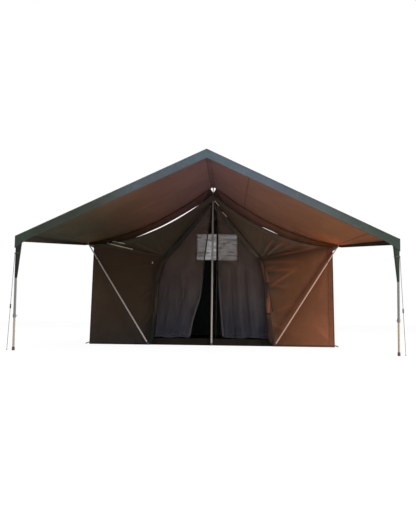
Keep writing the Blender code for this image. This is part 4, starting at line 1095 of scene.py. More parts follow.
def side_wall(label, side):
    place = side_wall_place(side)

    def at(u, v):
        y = mix(FRONT_WALL_Y, REAR_WALL_Y, u if side > 0 else 1 - u)
        return place(y, gable_top(TENT_HALF - WALL_LEAN, y) * v)

    wall = cloth("side_wall_sheet_" + label, 96, 64, at, (2.70, 1.63),
                 [WALL_CANVAS, INSIDE_CANVAS])
    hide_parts("side_wall_" + label)
    near, far = FRONT_WALL_Y + 0.03, REAR_WALL_Y - 0.03
    low, high = SIDE_SEAM_ENDS
    for part, start, end in (("foot", (near, FOOT_HEM_Z), (far, FOOT_HEM_Z)),
                             ("front", (near, low), (near, high)),
                             ("middle", (MIDDLE_SEAM_Y, low), (MIDDLE_SEAM_Y, high)),
                             ("rear", (far, low), (far, high))):
        seam("side_wall_%s_%s" % (part, label), place, straight(start, end),
             SEAM_WIDTH, side, OUTER_LIFT, WALL_SEAM)


def rear_wall_place(x, z):
    top = gable_top(x, REAR_WALL_Y)
    spot = Vector((abs(x), z))
    folds = creased(spot, REAR_FOLDS)
    billow = 0.010 + 0.009 * drift(x * 1.5, z * 1.3, 21.0)
    outer = mix(WALL_OUTER_X, WALL_TOP_X, min(z / ROOF_EAVE_Z, 1))
    free = eased(outer - abs(x), 0.0, 0.15) * eased(z, 0.11, 0.30) * eased(top - z, 0.0, 0.12)
    free *= eased(abs(x), 0.02, 0.28)
    window = max(abs(x) - WINDOW_HALF, abs(z - WINDOW_MIDDLE_Z) - WINDOW_REACH_Z)
    slack = max(billow + 0.010 - folds, 0.0) * free * eased(window, 0.03, 0.2)
    return Vector((x, REAR_WALL_Y - CANVAS - slack, z))


def rear_wall():
    """The gable is cut out for the window before it gets its thickness."""
    low, high = WINDOW_MIDDLE_Z - WINDOW_REACH_Z, WINDOW_MIDDLE_Z + WINDOW_REACH_Z
    form = bmesh.new()
    bmesh.ops.create_grid(form, x_segments=110, y_segments=70, size=1)
    for vertex in form.verts:
        share = grid_share(vertex.co)
        reach = mix(WALL_OUTER_X, WALL_TOP_X, share.y)
        x = mix(reach, -reach, share.x)
        vertex.co = rear_wall_place(x, gable_top(x, REAR_WALL_Y) * share.y)
    for edge, across in (((-WINDOW_HALF, 0, 0), (1, 0, 0)), ((WINDOW_HALF, 0, 0), (1, 0, 0)),
                         ((0, 0, low), (0, 0, 1)), ((0, 0, high), (0, 0, 1))):
        bmesh.ops.bisect_plane(form, geom=form.verts[:] + form.edges[:] + form.faces[:],
                               plane_co=edge, plane_no=across, dist=0.0001)
    middles = [(face, face.calc_center_median()) for face in form.faces]
    hole = [face for face, middle in middles
            if abs(middle.x) < WINDOW_HALF and abs(middle.z - WINDOW_MIDDLE_Z) < WINDOW_REACH_Z]
    bmesh.ops.delete(form, geom=hole, context="FACES")
    lay_out(form, lambda place: (-place.x, place.z))
    wall = show("rear_wall_sheet", form, [WALL_CANVAS, INSIDE_CANVAS], "tent", 80)
    thicken(wall, CANVAS, inner=1)
    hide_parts("rear_wall")
    past, out = WINDOW_HALF + WINDOW_SEAM_PAST, WINDOW_HALF + WINDOW_SEAM_OUT
    under, over = low - WINDOW_SEAM_OUT, high + WINDOW_SEAM_OUT
    for part, start, end in (("foot", (1.98, FOOT_HEM_Z), (-1.98, FOOT_HEM_Z)),
                             ("eave_left", (-0.55, 1.600), (-1.90, 1.600)),
                             ("eave_right", (1.90, 1.600), (0.55, 1.600)),
                             ("window_foot", (past, under), (-past, under)),
                             ("window_head", (past, over), (-past, over)),
                             ("window_left", (-out, low), (-out, high)),
                             ("window_right", (out, high), (out, low))):
        seam("rear_wall_" + part, rear_wall_place, straight(start, end),
             SEAM_WIDTH, -1, OUTER_LIFT, WALL_SEAM, 50)


for label, side in SIDES:
    side_wall(label, side)
rear_wall()

# Rear window. Mosquito gauze sewn inside the opening, wavy where it is slack, with three
# tapes across it. Its canvas flap is rolled up above it and held by two ties.
WINDOW_LAP = 0.025
GAUZE_SKIN = 0.0008
NET_THREADS = 150.0
TAPE_SHARES = (0.30, 0.52, 0.74)
TAPE_WIDTH = 0.009


def net_finish(name, dark, light, cover, shades=None, wrinkles=(5.0, 5.0, 19.0), uneven=0.5):
    """Fine net: a lattice of threads with open holes between them, so that it lets a fixed
    share of the light through. wrinkles is how often it is creased in each direction,
    and uneven how much that shows."""
    made, tree, shader = new_finish(name, 0.95)
    cut = add(tree, "ShaderNodeTexCoord").outputs["UV"]
    place = object_place(tree)
    weave = grouped(WEAVE, Place=cut, Threads=NET_THREADS)["Height"]
    creases = add(tree, "ShaderNodeMapping", {"Vector": place, "Scale": wrinkles})
    soft = add(tree, "ShaderNodeTexNoise", {"Vector": creases.outputs[0], "Scale": 1.0,
                                            "Detail": 2.0})
    paler = stretched(soft.outputs[0], 1 - uneven, 1 + uneven, 0.34, 0.66)
    colour = tinted(blended(grouped(WEATHERING, Place=place)["Blotch"], dark, light), paler)
    if shades:
        colour = tinted(colour, blended(along(place, "Z", 1.7, 0.1), *shades))
    solid = stretched(weave, cover - 0.10, min(cover + 0.10, 1.0))
    denser = stretched(paler, 1 - 0.4 * uneven, 1 + 0.4 * uneven, 1 - uneven, 1 + uneven)
    feed(shader, {"Base Color": colour, "Specular IOR Level": 0.1,
                  "Alpha": summed(solid, denser, "MULTIPLY")})
    return made


WINDOW_NET = net_finish("window_net", (0.155, 0.145, 0.122), (0.205, 0.193, 0.16), 0.55)
TAPE = net_finish("net_tape", (0.16, 0.15, 0.125), (0.22, 0.21, 0.18), 0.16)


def window_net_at(u, v):
    x = mix(WINDOW_HALF + WINDOW_LAP, -WINDOW_HALF - WINDOW_LAP, u)
    reach = WINDOW_REACH_Z + WINDOW_LAP
    z = WINDOW_MIDDLE_Z + mix(-reach, reach, v)
    held = eased(min(u, 1 - u), 0.03, 0.12) * eased(min(v, 1 - v), 0.04, 0.15)
    wave = math.sin(v * 55 + 3 * drift(x * 3, z * 3, 4.0))
    slack = held * (0.006 + 0.003 * wave * eased(x, -0.05, 0.2))
    return Vector((x, REAR_WALL_Y - CANVAS - SEAM_GAP - GAUZE_SKIN - slack, z))


window_net = cloth("rear_window_net", 40, 80, window_net_at, (0.85, 0.57), [WINDOW_NET],
                   GAUZE_SKIN)
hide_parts("rear_window_gauze")
for number, share in enumerate(TAPE_SHARES):
    seam("rear_window_tape_%d" % (number + 1), window_net_at,
         lambda s, v=share: (mix(0.02, 0.98, s), v + 0.006 * math.sin(s * 9)), TAPE_WIDTH, -1,
         UNDER_LIFT, TAPE, 40)

# Ridge gusset. A piece of the gable's dark canvas laps up from the roof's front edge to the
# awning, and is notched beside the upright's spigot, where two small spots of sky show.
GUSSET_HALVES = (0.19, 0.065)
GUSSET_NOTCH = (0.008, 0.046)
GUSSET_NOTCH_Z = RIDGE_HEIGHT + 0.062
GUSSET_Y = AWNING_REAR_Y - 0.006
GUSSET_SKIN = 0.0015


def ridge_gusset_at(u, v):
    x = mix(*GUSSET_HALVES, v) * (2 * u - 1)
    low = roof_under(x, GUSSET_Y) + CANVAS + 0.001
    high = awning_place(x, GUSSET_Y).z - 0.002
    start, end = GUSSET_NOTCH
    if abs(x) < end:
        high = mix(GUSSET_NOTCH_Z, high - 0.004, min(max(abs(x) - start, 0) / (end - start), 1))
    pucker = 0.003 * math.sin(x * 90) * (1 - v)
    return Vector((x, GUSSET_Y + pucker, mix(low, max(high, low + 0.003), v)))


gusset = cloth("ridge_gusset", 60, 8, ridge_gusset_at, (0.34, 0.14), [WALL_CANVAS],
               GUSSET_SKIN)

# Rolled window flap and door canvas. The flap is rolled up over the window. The door canvas
# is the cloth of the walls, lighter as painted light on the roll, with painted shade where it
# hangs under the gable, on the left door and at the foot.
FLAP_RADIUS = 0.024
FLAP_Y = REAR_WALL_Y + FLAP_RADIUS + SEAM_GAP
FLAP_Z = WINDOW_MIDDLE_Z + WINDOW_REACH_Z + FLAP_RADIUS + WINDOW_LAP / 2
FLAP_HALF = 0.425
FLAP_SHARES = (1.0, 1.0, 0.7, 1.0, 1.0, 1.0, 0.7, 1.0, 1.0)
STRIP_SKIN = 0.0012
DOOR_LEFT_SHADE = (0.60, 0.74, 0.78)
DOOR_TOP_SHADE = (0.62, 0.66, 0.70)
DOOR_FOOT_SHADE = (0.34, 0.40, 0.48)


def smooth_line(points, share):
    """A point on a smooth line through given points."""
    spot = min(max(share, 0), 1) * (len(points) - 1)
    index = min(int(spot), len(points) - 2)
    t = spot - index
    before, start = points[max(index - 1, 0)], points[index]
    end, after = points[index + 1], points[min(index + 2, len(points) - 1)]
    return 0.5 * (2 * start + (end - before) * t
                  + (2 * before - 5 * start + 4 * end - after) * t * t
                  + (3 * start - 3 * end + after - before) * t ** 3)


def rolled(name, points, radii, flatness, size, finish, turns=2.6, lip=0.0, rows=110,
           painted_turn_light=0.5):
    """Cloth rolled up along a line, as a real spiral. lip turns the free edge, and ties
    draw the roll in where its radius is small, which puckers it lengthwise."""
    line = [Vector(point) for point in points]

    def at(u, v):
        middle = smooth_line(line, v)
        ahead = (smooth_line(line, v + 0.01) - smooth_line(line, v - 0.01)).normalized()
        side = ahead.cross(Vector((0, 1, 0))).normalized()
        back = side.cross(ahead)
        girth = smooth_line(radii, v)
        angle = lip + u * turns * math.tau
        pinch = 1 - eased(girth / max(radii), 0.35, 0.8)
        ridge = 0.05 * math.sin(7 * angle + v * 9) * pinch
        ridge += 0.07 * drift(math.cos(angle), math.sin(angle), v * 16)
        ridge += 0.05 * math.sin(3 * angle + v * 23)
        radius = girth * mix(0.94, 0.30, u ** 0.8) * (1 + ridge * (1 - 0.5 * u))
        return (middle + side * math.cos(angle) * radius
                + back * math.sin(angle) * radius * flatness)

    # Painted stripes of light and shade round the turns of the roll, past its first third.
    def wear_and_fold_light(u, v):
        shown = eased(v, 0.28, 0.40)
        return painted_turn_light * shown * math.sin(2 * (lip + u * turns * math.tau) + v * 15)

    return cloth(name, int(turns * 34), rows, at, size, [finish], STRIP_SKIN, wear_and_fold_light=wear_and_fold_light)


def door_tint(place, colour):
    """The walls' canvas with their painted light and shade, and more painted shade on the left
    door, under the gable and at the foot.
    """
    shaded = tinted(wall_tint(place, colour), DOOR_LEFT_SHADE,
                    along(place, "X", 0.1, -0.1, "LINEAR"))
    shaded = tinted(shaded, DOOR_TOP_SHADE, along(place, "Z", 1.30, 1.55))
    return tinted(shaded, DOOR_FOOT_SHADE, along(place, "Z", 0.52, 0.42))


# Lighter than the walls' browns: painted light on the rolled door canvas.
DOOR_CANVAS = canvas_finish("door_canvas", (0.125, 0.054, 0.030), (0.165, 0.070, 0.038),
                            (0.22, 0.110, 0.066), tint=door_tint, stitched=True)
flap = rolled("window_flap",
              [(mix(-FLAP_HALF, FLAP_HALF, i / 8), FLAP_Y, FLAP_Z) for i in range(9)],
              [FLAP_RADIUS * share for share in FLAP_SHARES], 1.0, (0.25, 0.85), WALL_SEAM,
              rows=60)
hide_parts("window_flap_roll")

# Rolled canvas doors. Each door is rolled back along its jamb and tied to it in three
# places with webbing, whose long tails hang down. The roll bulges between the ties and
# ends in a loose bundle on the ground.
DOOR_ROLL_SHARES = (
    (0.966, -0.18, 0.25), (0.910, -0.50, 0.42), (0.845, -0.94, 0.55), (0.769, -1.06, 0.62),
    (0.693, -1.18, 0.62), (0.637, -1.13, 0.56), (0.601, -0.71, 0.44), (0.561, 0.04, 0.60),
    (0.517, 0.46, 0.76), (0.471, 0.66, 0.78), (0.429, 0.72, 0.60), (0.382, 0.56, 0.80),
    (0.328, 0.34, 0.86), (0.269, 0.10, 0.80), (0.223, -0.04, 0.62), (0.181, -0.06, 0.80),
    (0.130, -0.08, 0.92), (0.084, -0.06, 1.00), (0.042, -0.02, 0.90), (0.019, 0.04, 0.55),
)
ROLL_WIDEST = 0.055
ROLL_FLATNESS = 0.5
ROLL_Y = FRONT_WALL_Y - SEAM_GAP - ROLL_WIDEST * ROLL_FLATNESS + 0.0008
TIES = (6, 10, 14)
TIE_WIDTH = 0.026
TIE_FLATNESS = 0.62
TIE_SKIN = 0.0018
TAIL_WIDTH = 0.020
# The ties' tails, each from its tie over points as (out from the ridge, up).
TIE_TAILS = {
    "right": (
        (0, ((0.845, 1.331), (0.862, 1.18), (0.878, 1.07))), (0, ((0.79, 1.30), (0.80, 1.20))),
        (1, ((0.934, 0.88), (0.958, 0.76), (0.978, 0.65), (0.991, 0.56))),
        (1, ((0.895, 0.86), (0.90, 0.78))), (2, ((0.935, 0.38), (0.945, 0.26))),
    ),
    "left": (
        (0, ((0.935, 1.34), (0.970, 1.20), (0.972, 1.05))), (0, ((0.87, 1.34), (0.88, 1.22))),
        (1, ((0.955, 0.85), (0.969, 0.70), (0.968, 0.56))),
        (1, ((0.90, 0.86), (0.905, 0.76))), (2, ((0.95, 0.36), (0.96, 0.27))),
    ),
}


def tie_band(name, place, ahead, radius):
    """Webbing drawn round the roll."""
    ahead = ahead.normalized()
    side = ahead.cross(Vector((0, 1, 0))).normalized()
    back = side.cross(ahead)
    form = bmesh.new()
    bmesh.ops.create_cone(form, cap_ends=False, segments=36, radius1=1, radius2=1, depth=1)
    for vertex in form.verts:
        spot = vertex.co.copy()
        vertex.co = (place + side * spot.x * radius + back * spot.y * radius * TIE_FLATNESS
                     + ahead * spot.z * TIE_WIDTH)
    lay_out(form, lambda place: (place.x, place.z))
    bmesh.ops.recalc_face_normals(form, faces=form.faces)
    band = show(name, form, [BINDING], "tent", 80)
    thicken(band, TIE_SKIN)


def tie_tail(name, points):
    """A tail of the tie, which hangs from the knot and turns a little as it falls."""
    length = run_length(points)

    def at(u, v):
        fall = 1 - v
        twist = 0.5 * math.sin(fall * 4.5 + length * 30) * fall
        edge = Vector((math.cos(twist), math.sin(twist), 0)) * TAIL_WIDTH * (u - 0.5)
        return smooth_line(points, fall) + edge

    tail = cloth(name, 4, 36, at, (TAIL_WIDTH, length), [BINDING], STRIP_SKIN)


def door_roll(label, side):
    line = []
    for height, out, radius in DOOR_ROLL_SHARES:
        z = DOOR_APEX_Z * height
        line.append(Vector((side * (door_edge_x(z) + ROLL_WIDEST * out), ROLL_Y, z)))
    # The right roll gets stronger painted stripes of light than the left one.
    roll = rolled("door_roll_canvas_" + label, line,
                  [ROLL_WIDEST * radius for height, out, radius in DOOR_ROLL_SHARES],
                  ROLL_FLATNESS, (0.26, 2.45), DOOR_CANVAS,
                  lip=math.radians(200 if side > 0 else -20), painted_turn_light=0.60 if side > 0 else 0.30)
    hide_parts("door_roll_" + label)
    knots = bmesh.new()
    starts = []
    for number, index in enumerate(TIES):
        radius = ROLL_WIDEST * DOOR_ROLL_SHARES[index][2] + 0.003
        tie_band("door_tie_%s_%d" % (label, number + 1), line[index],
                 line[index + 1] - line[index - 1], radius)
        knot = line[index] + Vector((side * radius * 0.5, -radius * TIE_FLATNESS - 0.004, 0))
        lump(knots, knot, (0.013, 0.008, 0.010))
        lump(knots, knot + Vector((side * 0.016, 0, 0.005)), (0.012, 0.006, 0.006))
        starts.append(knot + Vector((0, -0.004, 0)))
    for number, (tie, points) in enumerate(TIE_TAILS[label]):
        down = [Vector((side * x, starts[tie].y - 0.004, z)) for x, z in points]
        tie_tail("door_tie_tail_%s_%d" % (label, number + 1), [starts[tie]] + down)
    made = show("door_tie_knots_" + label, settle(knots), [BINDING])


for label, side in SIDES:
    door_roll(label, side)

# Eave cords, toggle and zip tape. On the left a pale cord runs from the eave corner along
# the eave seam with a shorter one above it, and a toggle sits beside the door. On the right
# two lengths of the door's zip tape show near the apex.
PALE_CORD_RADIUS = 0.0075
EAVE_CORDS = (("long", ((1.745, 1.662), (1.60, 1.628), (1.45, 1.592), (1.315, 1.561))),
              ("short", ((1.655, 1.690), (1.55, 1.672), (1.45, 1.655))))
ZIP_LENGTHS = (((0.028, 2.372), (0.100, 2.288)), ((0.153, 2.192), (0.234, 2.108)))
ZIP_Y = FRONT_WALL_Y - 0.046


def make_pale_cord():
    made, tree, shader = new_finish("pale_cord", 0.8)
    dust = grouped(WEATHERING, Place=object_place(tree))["Dust"]
    feed(shader, {"Base Color": blended(dust, (0.62, 0.57, 0.48), (0.82, 0.78, 0.68))})
    return made


PALE_CORD = make_pale_cord()
for label, points in EAVE_CORDS:
    wall = front_wall_place("left", -1)
    line = [wall(x, z) - Vector((0, CANVAS + PALE_CORD_RADIUS + 0.004, 0)) for x, z in points]
    smooth = [smooth_line(line, i / 20) for i in range(21)]
    cord = cord_line("eave_cord_" + label, smooth, PALE_CORD_RADIUS, PALE_CORD)
    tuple(smooth[0])
    round(run_length(smooth), 3)


def small_fittings():
    toggle = bmesh.new()
    lump(toggle, front_wall_place("left", -1)(0.985, 1.345) - Vector((0, 0.010, 0)),
         (0.012, 0.008, 0.017))
    made = show("door_toggle", settle(toggle), [PALE_CORD])
    for number, (start, end) in enumerate(ZIP_LENGTHS):
        def at(u, v, start=Vector(start), end=Vector(end)):
            spot = start.lerp(end, 1 - v)
            return Vector((spot.x + 0.010 * (u - 0.5), ZIP_Y, spot.y + 0.006 * (u - 0.5)))
        tape = cloth("door_zip_tape_%d" % (number + 1), 4, 20, at, (0.011, 0.11),
                     [PALE_CORD], STRIP_SKIN)


small_fittings()

# Gauze door curtains. Grey mosquito gauze fills the top of the doorway and hangs on each
# side in soft folds. Its lower part is loose, and its free edge hangs back inside the
# doorway, bent from the sewn edge.
CURTAIN_BOTTOM_Z = 0.125
CURTAIN_TOP_Z = DOOR_APEX_Z - 0.07
CURTAIN_EDGE_SHARES = {
    "left": ((0.45, 0.0), (0.385, 0.13), (0.2375, 0.304), (0.15, 0.606), (0.0275, 1.0)),
    "right": ((0.225, 0.0), (0.190, 0.15), (0.144, 0.341), (0.100, 0.606), (0.100, 0.88),
              (0.0275, 1.0)),
}
CURTAIN_BACK = 0.062
HINGE_Y = FRONT_WALL_Y + CANVAS + SEAM_GAP
DOOR_NET = net_finish("door_net", (0.150, 0.110, 0.096), (0.185, 0.136, 0.120), 0.33,
                      ((1.25, 1.24, 1.22), (0.40, 0.56, 0.84)), (13.0, 13.0, 2.6), 0.15)
NET_HEM = canvas_finish("net_hem", (0.050, 0.044, 0.052), (0.066, 0.058, 0.066),
                        (0.10, 0.09, 0.10))


def curtain_inner_x(label, z):
    edge = CURTAIN_EDGE_SHARES[label]
    height = (z - CURTAIN_BOTTOM_Z) / (CURTAIN_TOP_Z - CURTAIN_BOTTOM_Z)
    for (x0, z0), (x1, z1) in zip(edge, edge[1:]):
        if height <= z1:
            return DOOR_TIE_X * mix(x0, x1, (height - z0) / (z1 - z0))
    return DOOR_TIE_X * edge[-1][0]


def curtain_at(label, side):
    """near 0 is the free edge, near 1 the sewn one. The folds hang from the gable: they
    are shallow there and open out towards the bottom hem."""
    def at(u, v):
        z = mix(CURTAIN_BOTTOM_Z, CURTAIN_TOP_Z, v)
        near = u if side > 0 else 1 - u
        x = mix(curtain_inner_x(label, z), door_edge_x(z), near)
        back = CURTAIN_BACK * (1 - near)
        hang = mix(1.0, 0.22, min(max(v, 0), 1) ** 0.8)
        lean = near + 0.10 * (1 - v) * side
        wave = 0.7 * math.sin(3.5 * math.tau * lean + 1.5 * math.sin(v * 3 + side))
        wave += 0.30 * math.sin(9.5 * math.tau * lean + v * 3.6)
        wave += 2.2 * drift(near * 3, v * 2.5, 31.0 * side)
        wave += 0.8 * drift(near * 9 + v * 4, v * 7, 17.0 * side)
        fold = 0.011 * wave * hang * min(max(back, 0) / 0.014, 1)
        hem = 0.008 * math.sin(near * 11 + side) * (1 - v) ** 6
        return Vector((side * x, HINGE_Y + 0.001 + back + fold, z + hem))
    return at


def swing(piece, label, side):
    """Bakes the piece's placement into its mesh."""
    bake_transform(piece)


def curtain(label, side):
    at = curtain_at(label, side)
    net = cloth("door_gauze_" + label, 130, 120, at, (1.0, 2.2), [DOOR_NET], GAUZE_SKIN,
                body=None)
    swing(net, label, side)
    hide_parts("gauze_curtain_" + label, "gauze_gable_" + label)
    free = 0.012 if side > 0 else 0.988
    for part, start, end, width, finish in (
            ("bottom", (0.02, 0.006), (0.98, 0.006), 0.022, DOOR_NET),
            ("free", (free, 0.01), (free, 0.46), 0.026, NET_HEM),
            ("zip", (free, 0.465), (free, 0.97), 0.020, BINDING)):
        piece = seam("door_gauze_%s_hem_%s" % (part, label), at,
                     straight(start, end), width, 1, GAUZE_SKIN + UNDER_LIFT, finish, 80,
                     body=None)
        swing(piece, label, side)


for label, side in SIDES:
    curtain(label, side)

# Groundsheet. A tub of vinyl-coated cloth that covers the floor. Its front lip is the
# doorsill.
TUB_HALF = 1.986
TUB_FRONT_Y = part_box("groundsheet")[0].y
TUB_BACK_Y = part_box("groundsheet")[1].y
SILL_HEIGHT = 0.11


def make_vinyl():
    made, tree, shader = new_finish("floor_vinyl", 0.6)
    weather = grouped(WEATHERING, Place=object_place(tree))
    colour = blended(weather["Blotch"], (0.0085, 0.0070, 0.0050), (0.0150, 0.0122, 0.0086))
    feed(shader, {"Base Color": colour, "Roughness": stretched(weather["Dust"], 0.5, 0.85),
                  "Specular IOR Level": 0.08})
    bumped(shader, weather["Dust"], 0.001, 0.4)
    return made


FLOOR_VINYL = make_vinyl()


def groundsheet():
    form = bmesh.new()
    bmesh.ops.create_cube(form, size=1)
    bmesh.ops.scale(form, vec=(2 * TUB_HALF, TUB_BACK_Y - TUB_FRONT_Y, SILL_HEIGHT),
                    verts=form.verts)
    bmesh.ops.translate(form, vec=(0, (TUB_FRONT_Y + TUB_BACK_Y) / 2, SILL_HEIGHT / 2),
                        verts=form.verts)
    lid = [face for face in form.faces if face.normal.z > 0.5]
    bmesh.ops.delete(form, geom=lid, context="FACES_ONLY")
    bmesh.ops.subdivide_edges(form, edges=form.edges[:], cuts=40, use_grid_fill=True)
    for vertex in form.verts:
        x, y, z = vertex.co
        inside = min(TUB_HALF - abs(x), y - TUB_FRONT_Y, TUB_BACK_Y - y)
        if z > 0.01:
            vertex.co.z += 0.006 * drift(x * 3, y * 3, 2.0) * z / SILL_HEIGHT
        elif inside > 0.03:
            vertex.co.z += 0.004 * abs(drift(x * 2, y * 2, 4.0))
    tub = show("groundsheet_tub", form, [FLOOR_VINYL])
    thicken(tub, CANVAS, -1)
    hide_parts("groundsheet")


groundsheet()

# Leg sleeves. At each front corner the valance's green canvas ends in a tapered gusset
# that wraps round the top of the leg. It is open on its outer side, where the tube shows.
SLEEVE_SNUG = 0.0166
SLEEVE_OPEN = {"left": (0.62, 0.75), "right": (0.80, 0.0)}
SLEEVE_SKIN = 0.0016
# Painted shade on the left sleeve and painted light on the right one.
SLEEVE_LIGHT_AND_SHADE = ((-2.5, (0.26, 0.22, 0.19)), (2.5, (0.46, 0.55, 0.46)))
SLEEVE_CANVAS = canvas_finish("green_sleeve", *VALANCE_GREENS,
                              tint=painted_light_across(SLEEVE_LIGHT_AND_SHADE))


def leg_sleeve(label, side):
    """u goes round the leg from one edge of the opening to the other, v upwards."""
    low_open, high_open = SLEEVE_OPEN[label]

    def at(u, v):
        gap = math.radians(75) * mix(low_open, high_open, v)
        angle = mix(gap, math.tau - gap, u)
        out, back = math.cos(angle), math.sin(angle)
        inward = max(-out, 0)
        z = SLEEVE_TOP_Z - SLEEVE_HEIGHT * (1 - v)
        pull = sleeve_flare(z) * min(inward * 3, 1) * mix(0.85, 1.0, inward)
        wrinkle = 0.0012 * drift(u * 7, v * 5, 3.0 * side)
        x = LEG_X + out * SLEEVE_SNUG - pull
        y = LEG_Y + back * (SLEEVE_SNUG + wrinkle * inward)
        return Vector((side * x, y, z))

    sleeve = cloth("leg_sleeve_canvas_" + label, 48, 40,
                   at if side > 0 else lambda u, v: at(1 - u, v), (0.16, 0.47),
                   [SLEEVE_CANVAS], SLEEVE_SKIN)
    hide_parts("leg_sleeve_" + label)


for label, side in SIDES:
    leg_sleeve(label, side)

# Peg loops. Webbing loops along the foot of the walls take the pegs. They stand on edge on
# the ground.
LOOP_LENGTH = 0.055
LOOP_HALF = 0.011
LOOP_WIDTH = 0.016
LOOP_SKIN = 0.0016
LOOP_STRAIGHT = 0.34
TAN_WEBBING = canvas_finish("tan_webbing", (0.26, 0.18, 0.10), (0.36, 0.26, 0.16),
                            (0.45, 0.36, 0.25), 0.85)


def peg_loop(name, foot, outward):
    aside = Vector((-outward.y, outward.x, 0))

    def at(u, v):
        if u < LOOP_STRAIGHT:
            out, across = LOOP_LENGTH * u / LOOP_STRAIGHT, -LOOP_HALF
        elif u > 1 - LOOP_STRAIGHT:
            out, across = LOOP_LENGTH * (1 - u) / LOOP_STRAIGHT, LOOP_HALF
        else:
            angle = math.pi * (u - LOOP_STRAIGHT) / (1 - 2 * LOOP_STRAIGHT)
            out = LOOP_LENGTH + LOOP_HALF * math.sin(angle)
            across = -LOOP_HALF * math.cos(angle)
        lift = 0.020 * (1 - out / (LOOP_LENGTH + LOOP_HALF))
        rise = Vector((0, 0, 0.003 + lift + LOOP_WIDTH * v))
        return foot + outward * out + aside * across + rise

    loop = cloth(name, 40, 3, at, (0.15, LOOP_WIDTH), [TAN_WEBBING], LOOP_SKIN)


for label, side in SIDES:
    corner = Vector((side * 0.9, -0.45, 0)).normalized()
    peg_loop("peg_loop_front_" + label, Vector((side * 1.993, FRONT_WALL_Y - 0.004, 0)), corner)
    for number, y in enumerate((0.80, 1.75)):
        peg_loop("peg_loop_side_%s_%d" % (label, number + 1), Vector((side * 2.003, y, 0)),
                 Vector((side, 0, 0)))
    peg_loop("peg_loop_rear_" + label, Vector((side * 1.30, REAR_WALL_Y + 0.003, 0)),
             Vector((0, 1, 0)))
peg_loop("peg_loop_rear_middle", Vector((0.0, REAR_WALL_Y + 0.003, 0)), Vector((0, 1, 0)))

# Eyelets. Pressed brass rings guard the holes in the two ridges, where the spigots of the
# uprights come up through the canvas.
EYELET_RADIUS = 0.0105
EYELET_WIRE = 0.0024
SPIGOT_INSET = 0.032


def metal_finish(name, dark, light, roughness, metallic, streak=(60.0, 60.0, 9.0)):
    made, tree, shader = new_finish(name, roughness, metallic)
    place = object_place(tree)
    drawn = add(tree, "ShaderNodeMapping", {0: place, 3: streak}).outputs[0]
    cloud = add(tree, "ShaderNodeTexNoise", {"Vector": drawn, "Scale": 1.0, "Detail": 5.0,
                                             "Roughness": 0.6}).outputs["Fac"]
    spangle = add(tree, "ShaderNodeTexVoronoi", {"Vector": place, "Scale": 90.0})
    share = summed(summed(cloud, spangle.outputs["Distance"], "MULTIPLY"), 0.25)
    feed(shader, {"Base Color": blended(share, dark, light),
                  "Roughness": stretched(cloud, roughness - 0.1, roughness + 0.12)})
    bumped(shader, cloud, 0.0005, 0.4)
    return made


def eyelet(form, place):
    """A brass ring, spun from its round section."""
    section = bmesh.ops.create_circle(form, cap_ends=False, radius=EYELET_WIRE,
                                      segments=8)["verts"]
    bmesh.ops.rotate(form, matrix=Matrix.Rotation(math.pi / 2, 3, "X"), verts=section)
    bmesh.ops.translate(form, vec=Vector((EYELET_RADIUS, 0, 0)) + place, verts=section)
    edges = list(dict.fromkeys(edge for vertex in section for edge in vertex.link_edges))
    bmesh.ops.spin(form, geom=section + edges, cent=place, axis=(0, 0, 1), angle=math.tau,
                   steps=20, use_merge=True)


def fit_eyelets():
    form = bmesh.new()
    lift = RIDGE_HUG + CANVAS + 0.0010
    front_y, rear_y = FRONT_WALL_Y + SPIGOT_INSET, REAR_WALL_Y - SPIGOT_INSET
    for y, tube_z in ((front_y, AWNING_TUBE_Z), (front_y, ROOF_TUBE_Z), (rear_y, ROOF_TUBE_Z)):
        eyelet(form, Vector((0, y, tube_z + lift)))
    bmesh.ops.recalc_face_normals(form, faces=form.faces)
    brass = metal_finish("brass", (0.32, 0.24, 0.11), (0.48, 0.38, 0.20), 0.5, 0.8)
    made = show("ridge_eyelets", settle(form), [brass])


fit_eyelets()

# Strut ferrules. A short sleeve of black rubber is pushed over the lower end of each strut,
# so that the tube doesn't cut the ground or the groundsheet.
STRUT_FOOT_X = 1.015
STRUT_TOP_X = 2.03
STRUT_TOP_Z = 1.611
STRUT_RADIUS = 0.0125
STRUT_FOOT_OUT = 0.09
STRUT_TOP_OUT = 0.030
FERRULE_RADIUS = STRUT_RADIUS + 0.0005
FERRULE_HEIGHT = 0.050
FERRULE_LIFT = 0.004
FERRULE_SKIN = 0.0020


def plain_finish(name, dark, light, roughness):
    made, tree, shader = new_finish(name, roughness)
    dust = grouped(WEATHERING, Place=object_place(tree))["Dust"]
    feed(shader, {"Base Color": blended(dust, dark, light),
                  "Roughness": stretched(dust, roughness - 0.1, roughness + 0.1)})
    bumped(shader, dust, 0.0006, 0.3)
    return made


FERRULE = plain_finish("strut_ferrule", (0.030, 0.024, 0.020), (0.055, 0.046, 0.040), 0.75)


def shoe_strut(label, side, wall_y, outward):
    lean = math.atan2(STRUT_TOP_X - STRUT_FOOT_X, ROOF_EAVE_Z)
    foot = Vector((side * STRUT_FOOT_X, wall_y + outward * STRUT_FOOT_OUT,
                   STRUT_RADIUS * math.sin(lean)))
    top = Vector((side * STRUT_TOP_X, wall_y + outward * STRUT_TOP_OUT, STRUT_TOP_Z))
    ahead = (top - foot).normalized()
    form = bmesh.new()
    bmesh.ops.create_cone(form, cap_ends=False, segments=28, radius1=FERRULE_RADIUS,
                          radius2=FERRULE_RADIUS, depth=FERRULE_HEIGHT)
    turn = Vector((0, 0, 1)).rotation_difference(ahead).to_matrix()
    bmesh.ops.rotate(form, matrix=turn, verts=form.verts)
    bmesh.ops.translate(form, vec=foot + ahead * (FERRULE_HEIGHT / 2 + FERRULE_LIFT),
                        verts=form.verts)
    bmesh.ops.recalc_face_normals(form, faces=form.faces)
    made = show("strut_ferrule_" + label, form, [FERRULE])
    thicken(made, FERRULE_SKIN)


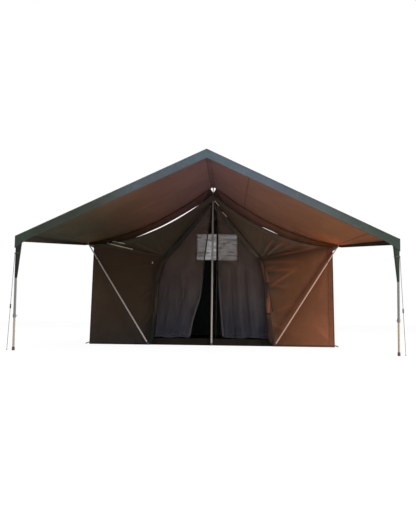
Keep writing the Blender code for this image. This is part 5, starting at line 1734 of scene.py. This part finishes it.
for label, side in SIDES:
    shoe_strut("front_" + label, side, FRONT_WALL_Y, -1)
    shoe_strut("rear_" + label, side, REAR_WALL_Y, 1)

# Tubes, castings and feet. Galvanised steel tube for the ridge, rafters, uprights and
# struts; the upper leg tubes are painted grey-green over bare lower rods; connectors and
# collars are cast, screws and runners moulded.
GALVANISED = metal_finish("galvanised_steel", (0.27, 0.245, 0.225), (0.42, 0.385, 0.355), 0.5,
                          0.4)
# The struts' steel is warm pink as painted warm light, and the front left strut has a greyer
# copy as painted shade.
WARM_LIT_STRUT_STEEL = metal_finish("strut_steel", (0.46, 0.27, 0.215), (0.62, 0.39, 0.325), 0.5, 0.2)
SHADED_STEEL = metal_finish("shaded_strut_steel", (0.36, 0.33, 0.31), (0.50, 0.47, 0.45), 0.5,
                            0.2)
LEG_PAINT = metal_finish("leg_paint", (0.13, 0.145, 0.125), (0.22, 0.235, 0.205), 0.5, 0.1)
BARE_ROD = metal_finish("bare_rod", (0.34, 0.26, 0.19), (0.50, 0.41, 0.32), 0.5, 0.25)
CASTING = metal_finish("zinc_casting", (0.15, 0.155, 0.145), (0.24, 0.245, 0.23), 0.55, 0.5)
SCREW_PLASTIC = plain_finish("screw_plastic", (0.018, 0.018, 0.018), (0.05, 0.05, 0.048), 0.5)
FOOT_RUBBER = plain_finish("foot_rubber", (0.085, 0.045, 0.030), (0.14, 0.080, 0.055), 0.8)
WEARS = (
    ("leg_tube", LEG_PAINT), ("leg_rod", BARE_ROD), ("leg_foot", FOOT_RUBBER),
    ("upright_foot", FOOT_RUBBER), ("connector", CASTING), ("collar", CASTING),
    ("spigot", CASTING), ("screw", SCREW_PLASTIC), ("runner", SCREW_PLASTIC),
    ("strut_tube_front_left", SHADED_STEEL), ("strut_rod_front_left", SHADED_STEEL),
    ("strut_tube", WARM_LIT_STRUT_STEEL), ("strut_rod", WARM_LIT_STRUT_STEEL), ("rafter", GALVANISED),
    ("ridge_tube", GALVANISED), ("upright_", GALVANISED),
)
for name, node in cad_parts.items():
    finish = next((wear_and_fold_light for part, wear_and_fold_light in WEARS if part in name), None)
    if finish and not node.hide_render:
        node.data.materials.clear()
        node.data.materials.append(finish)
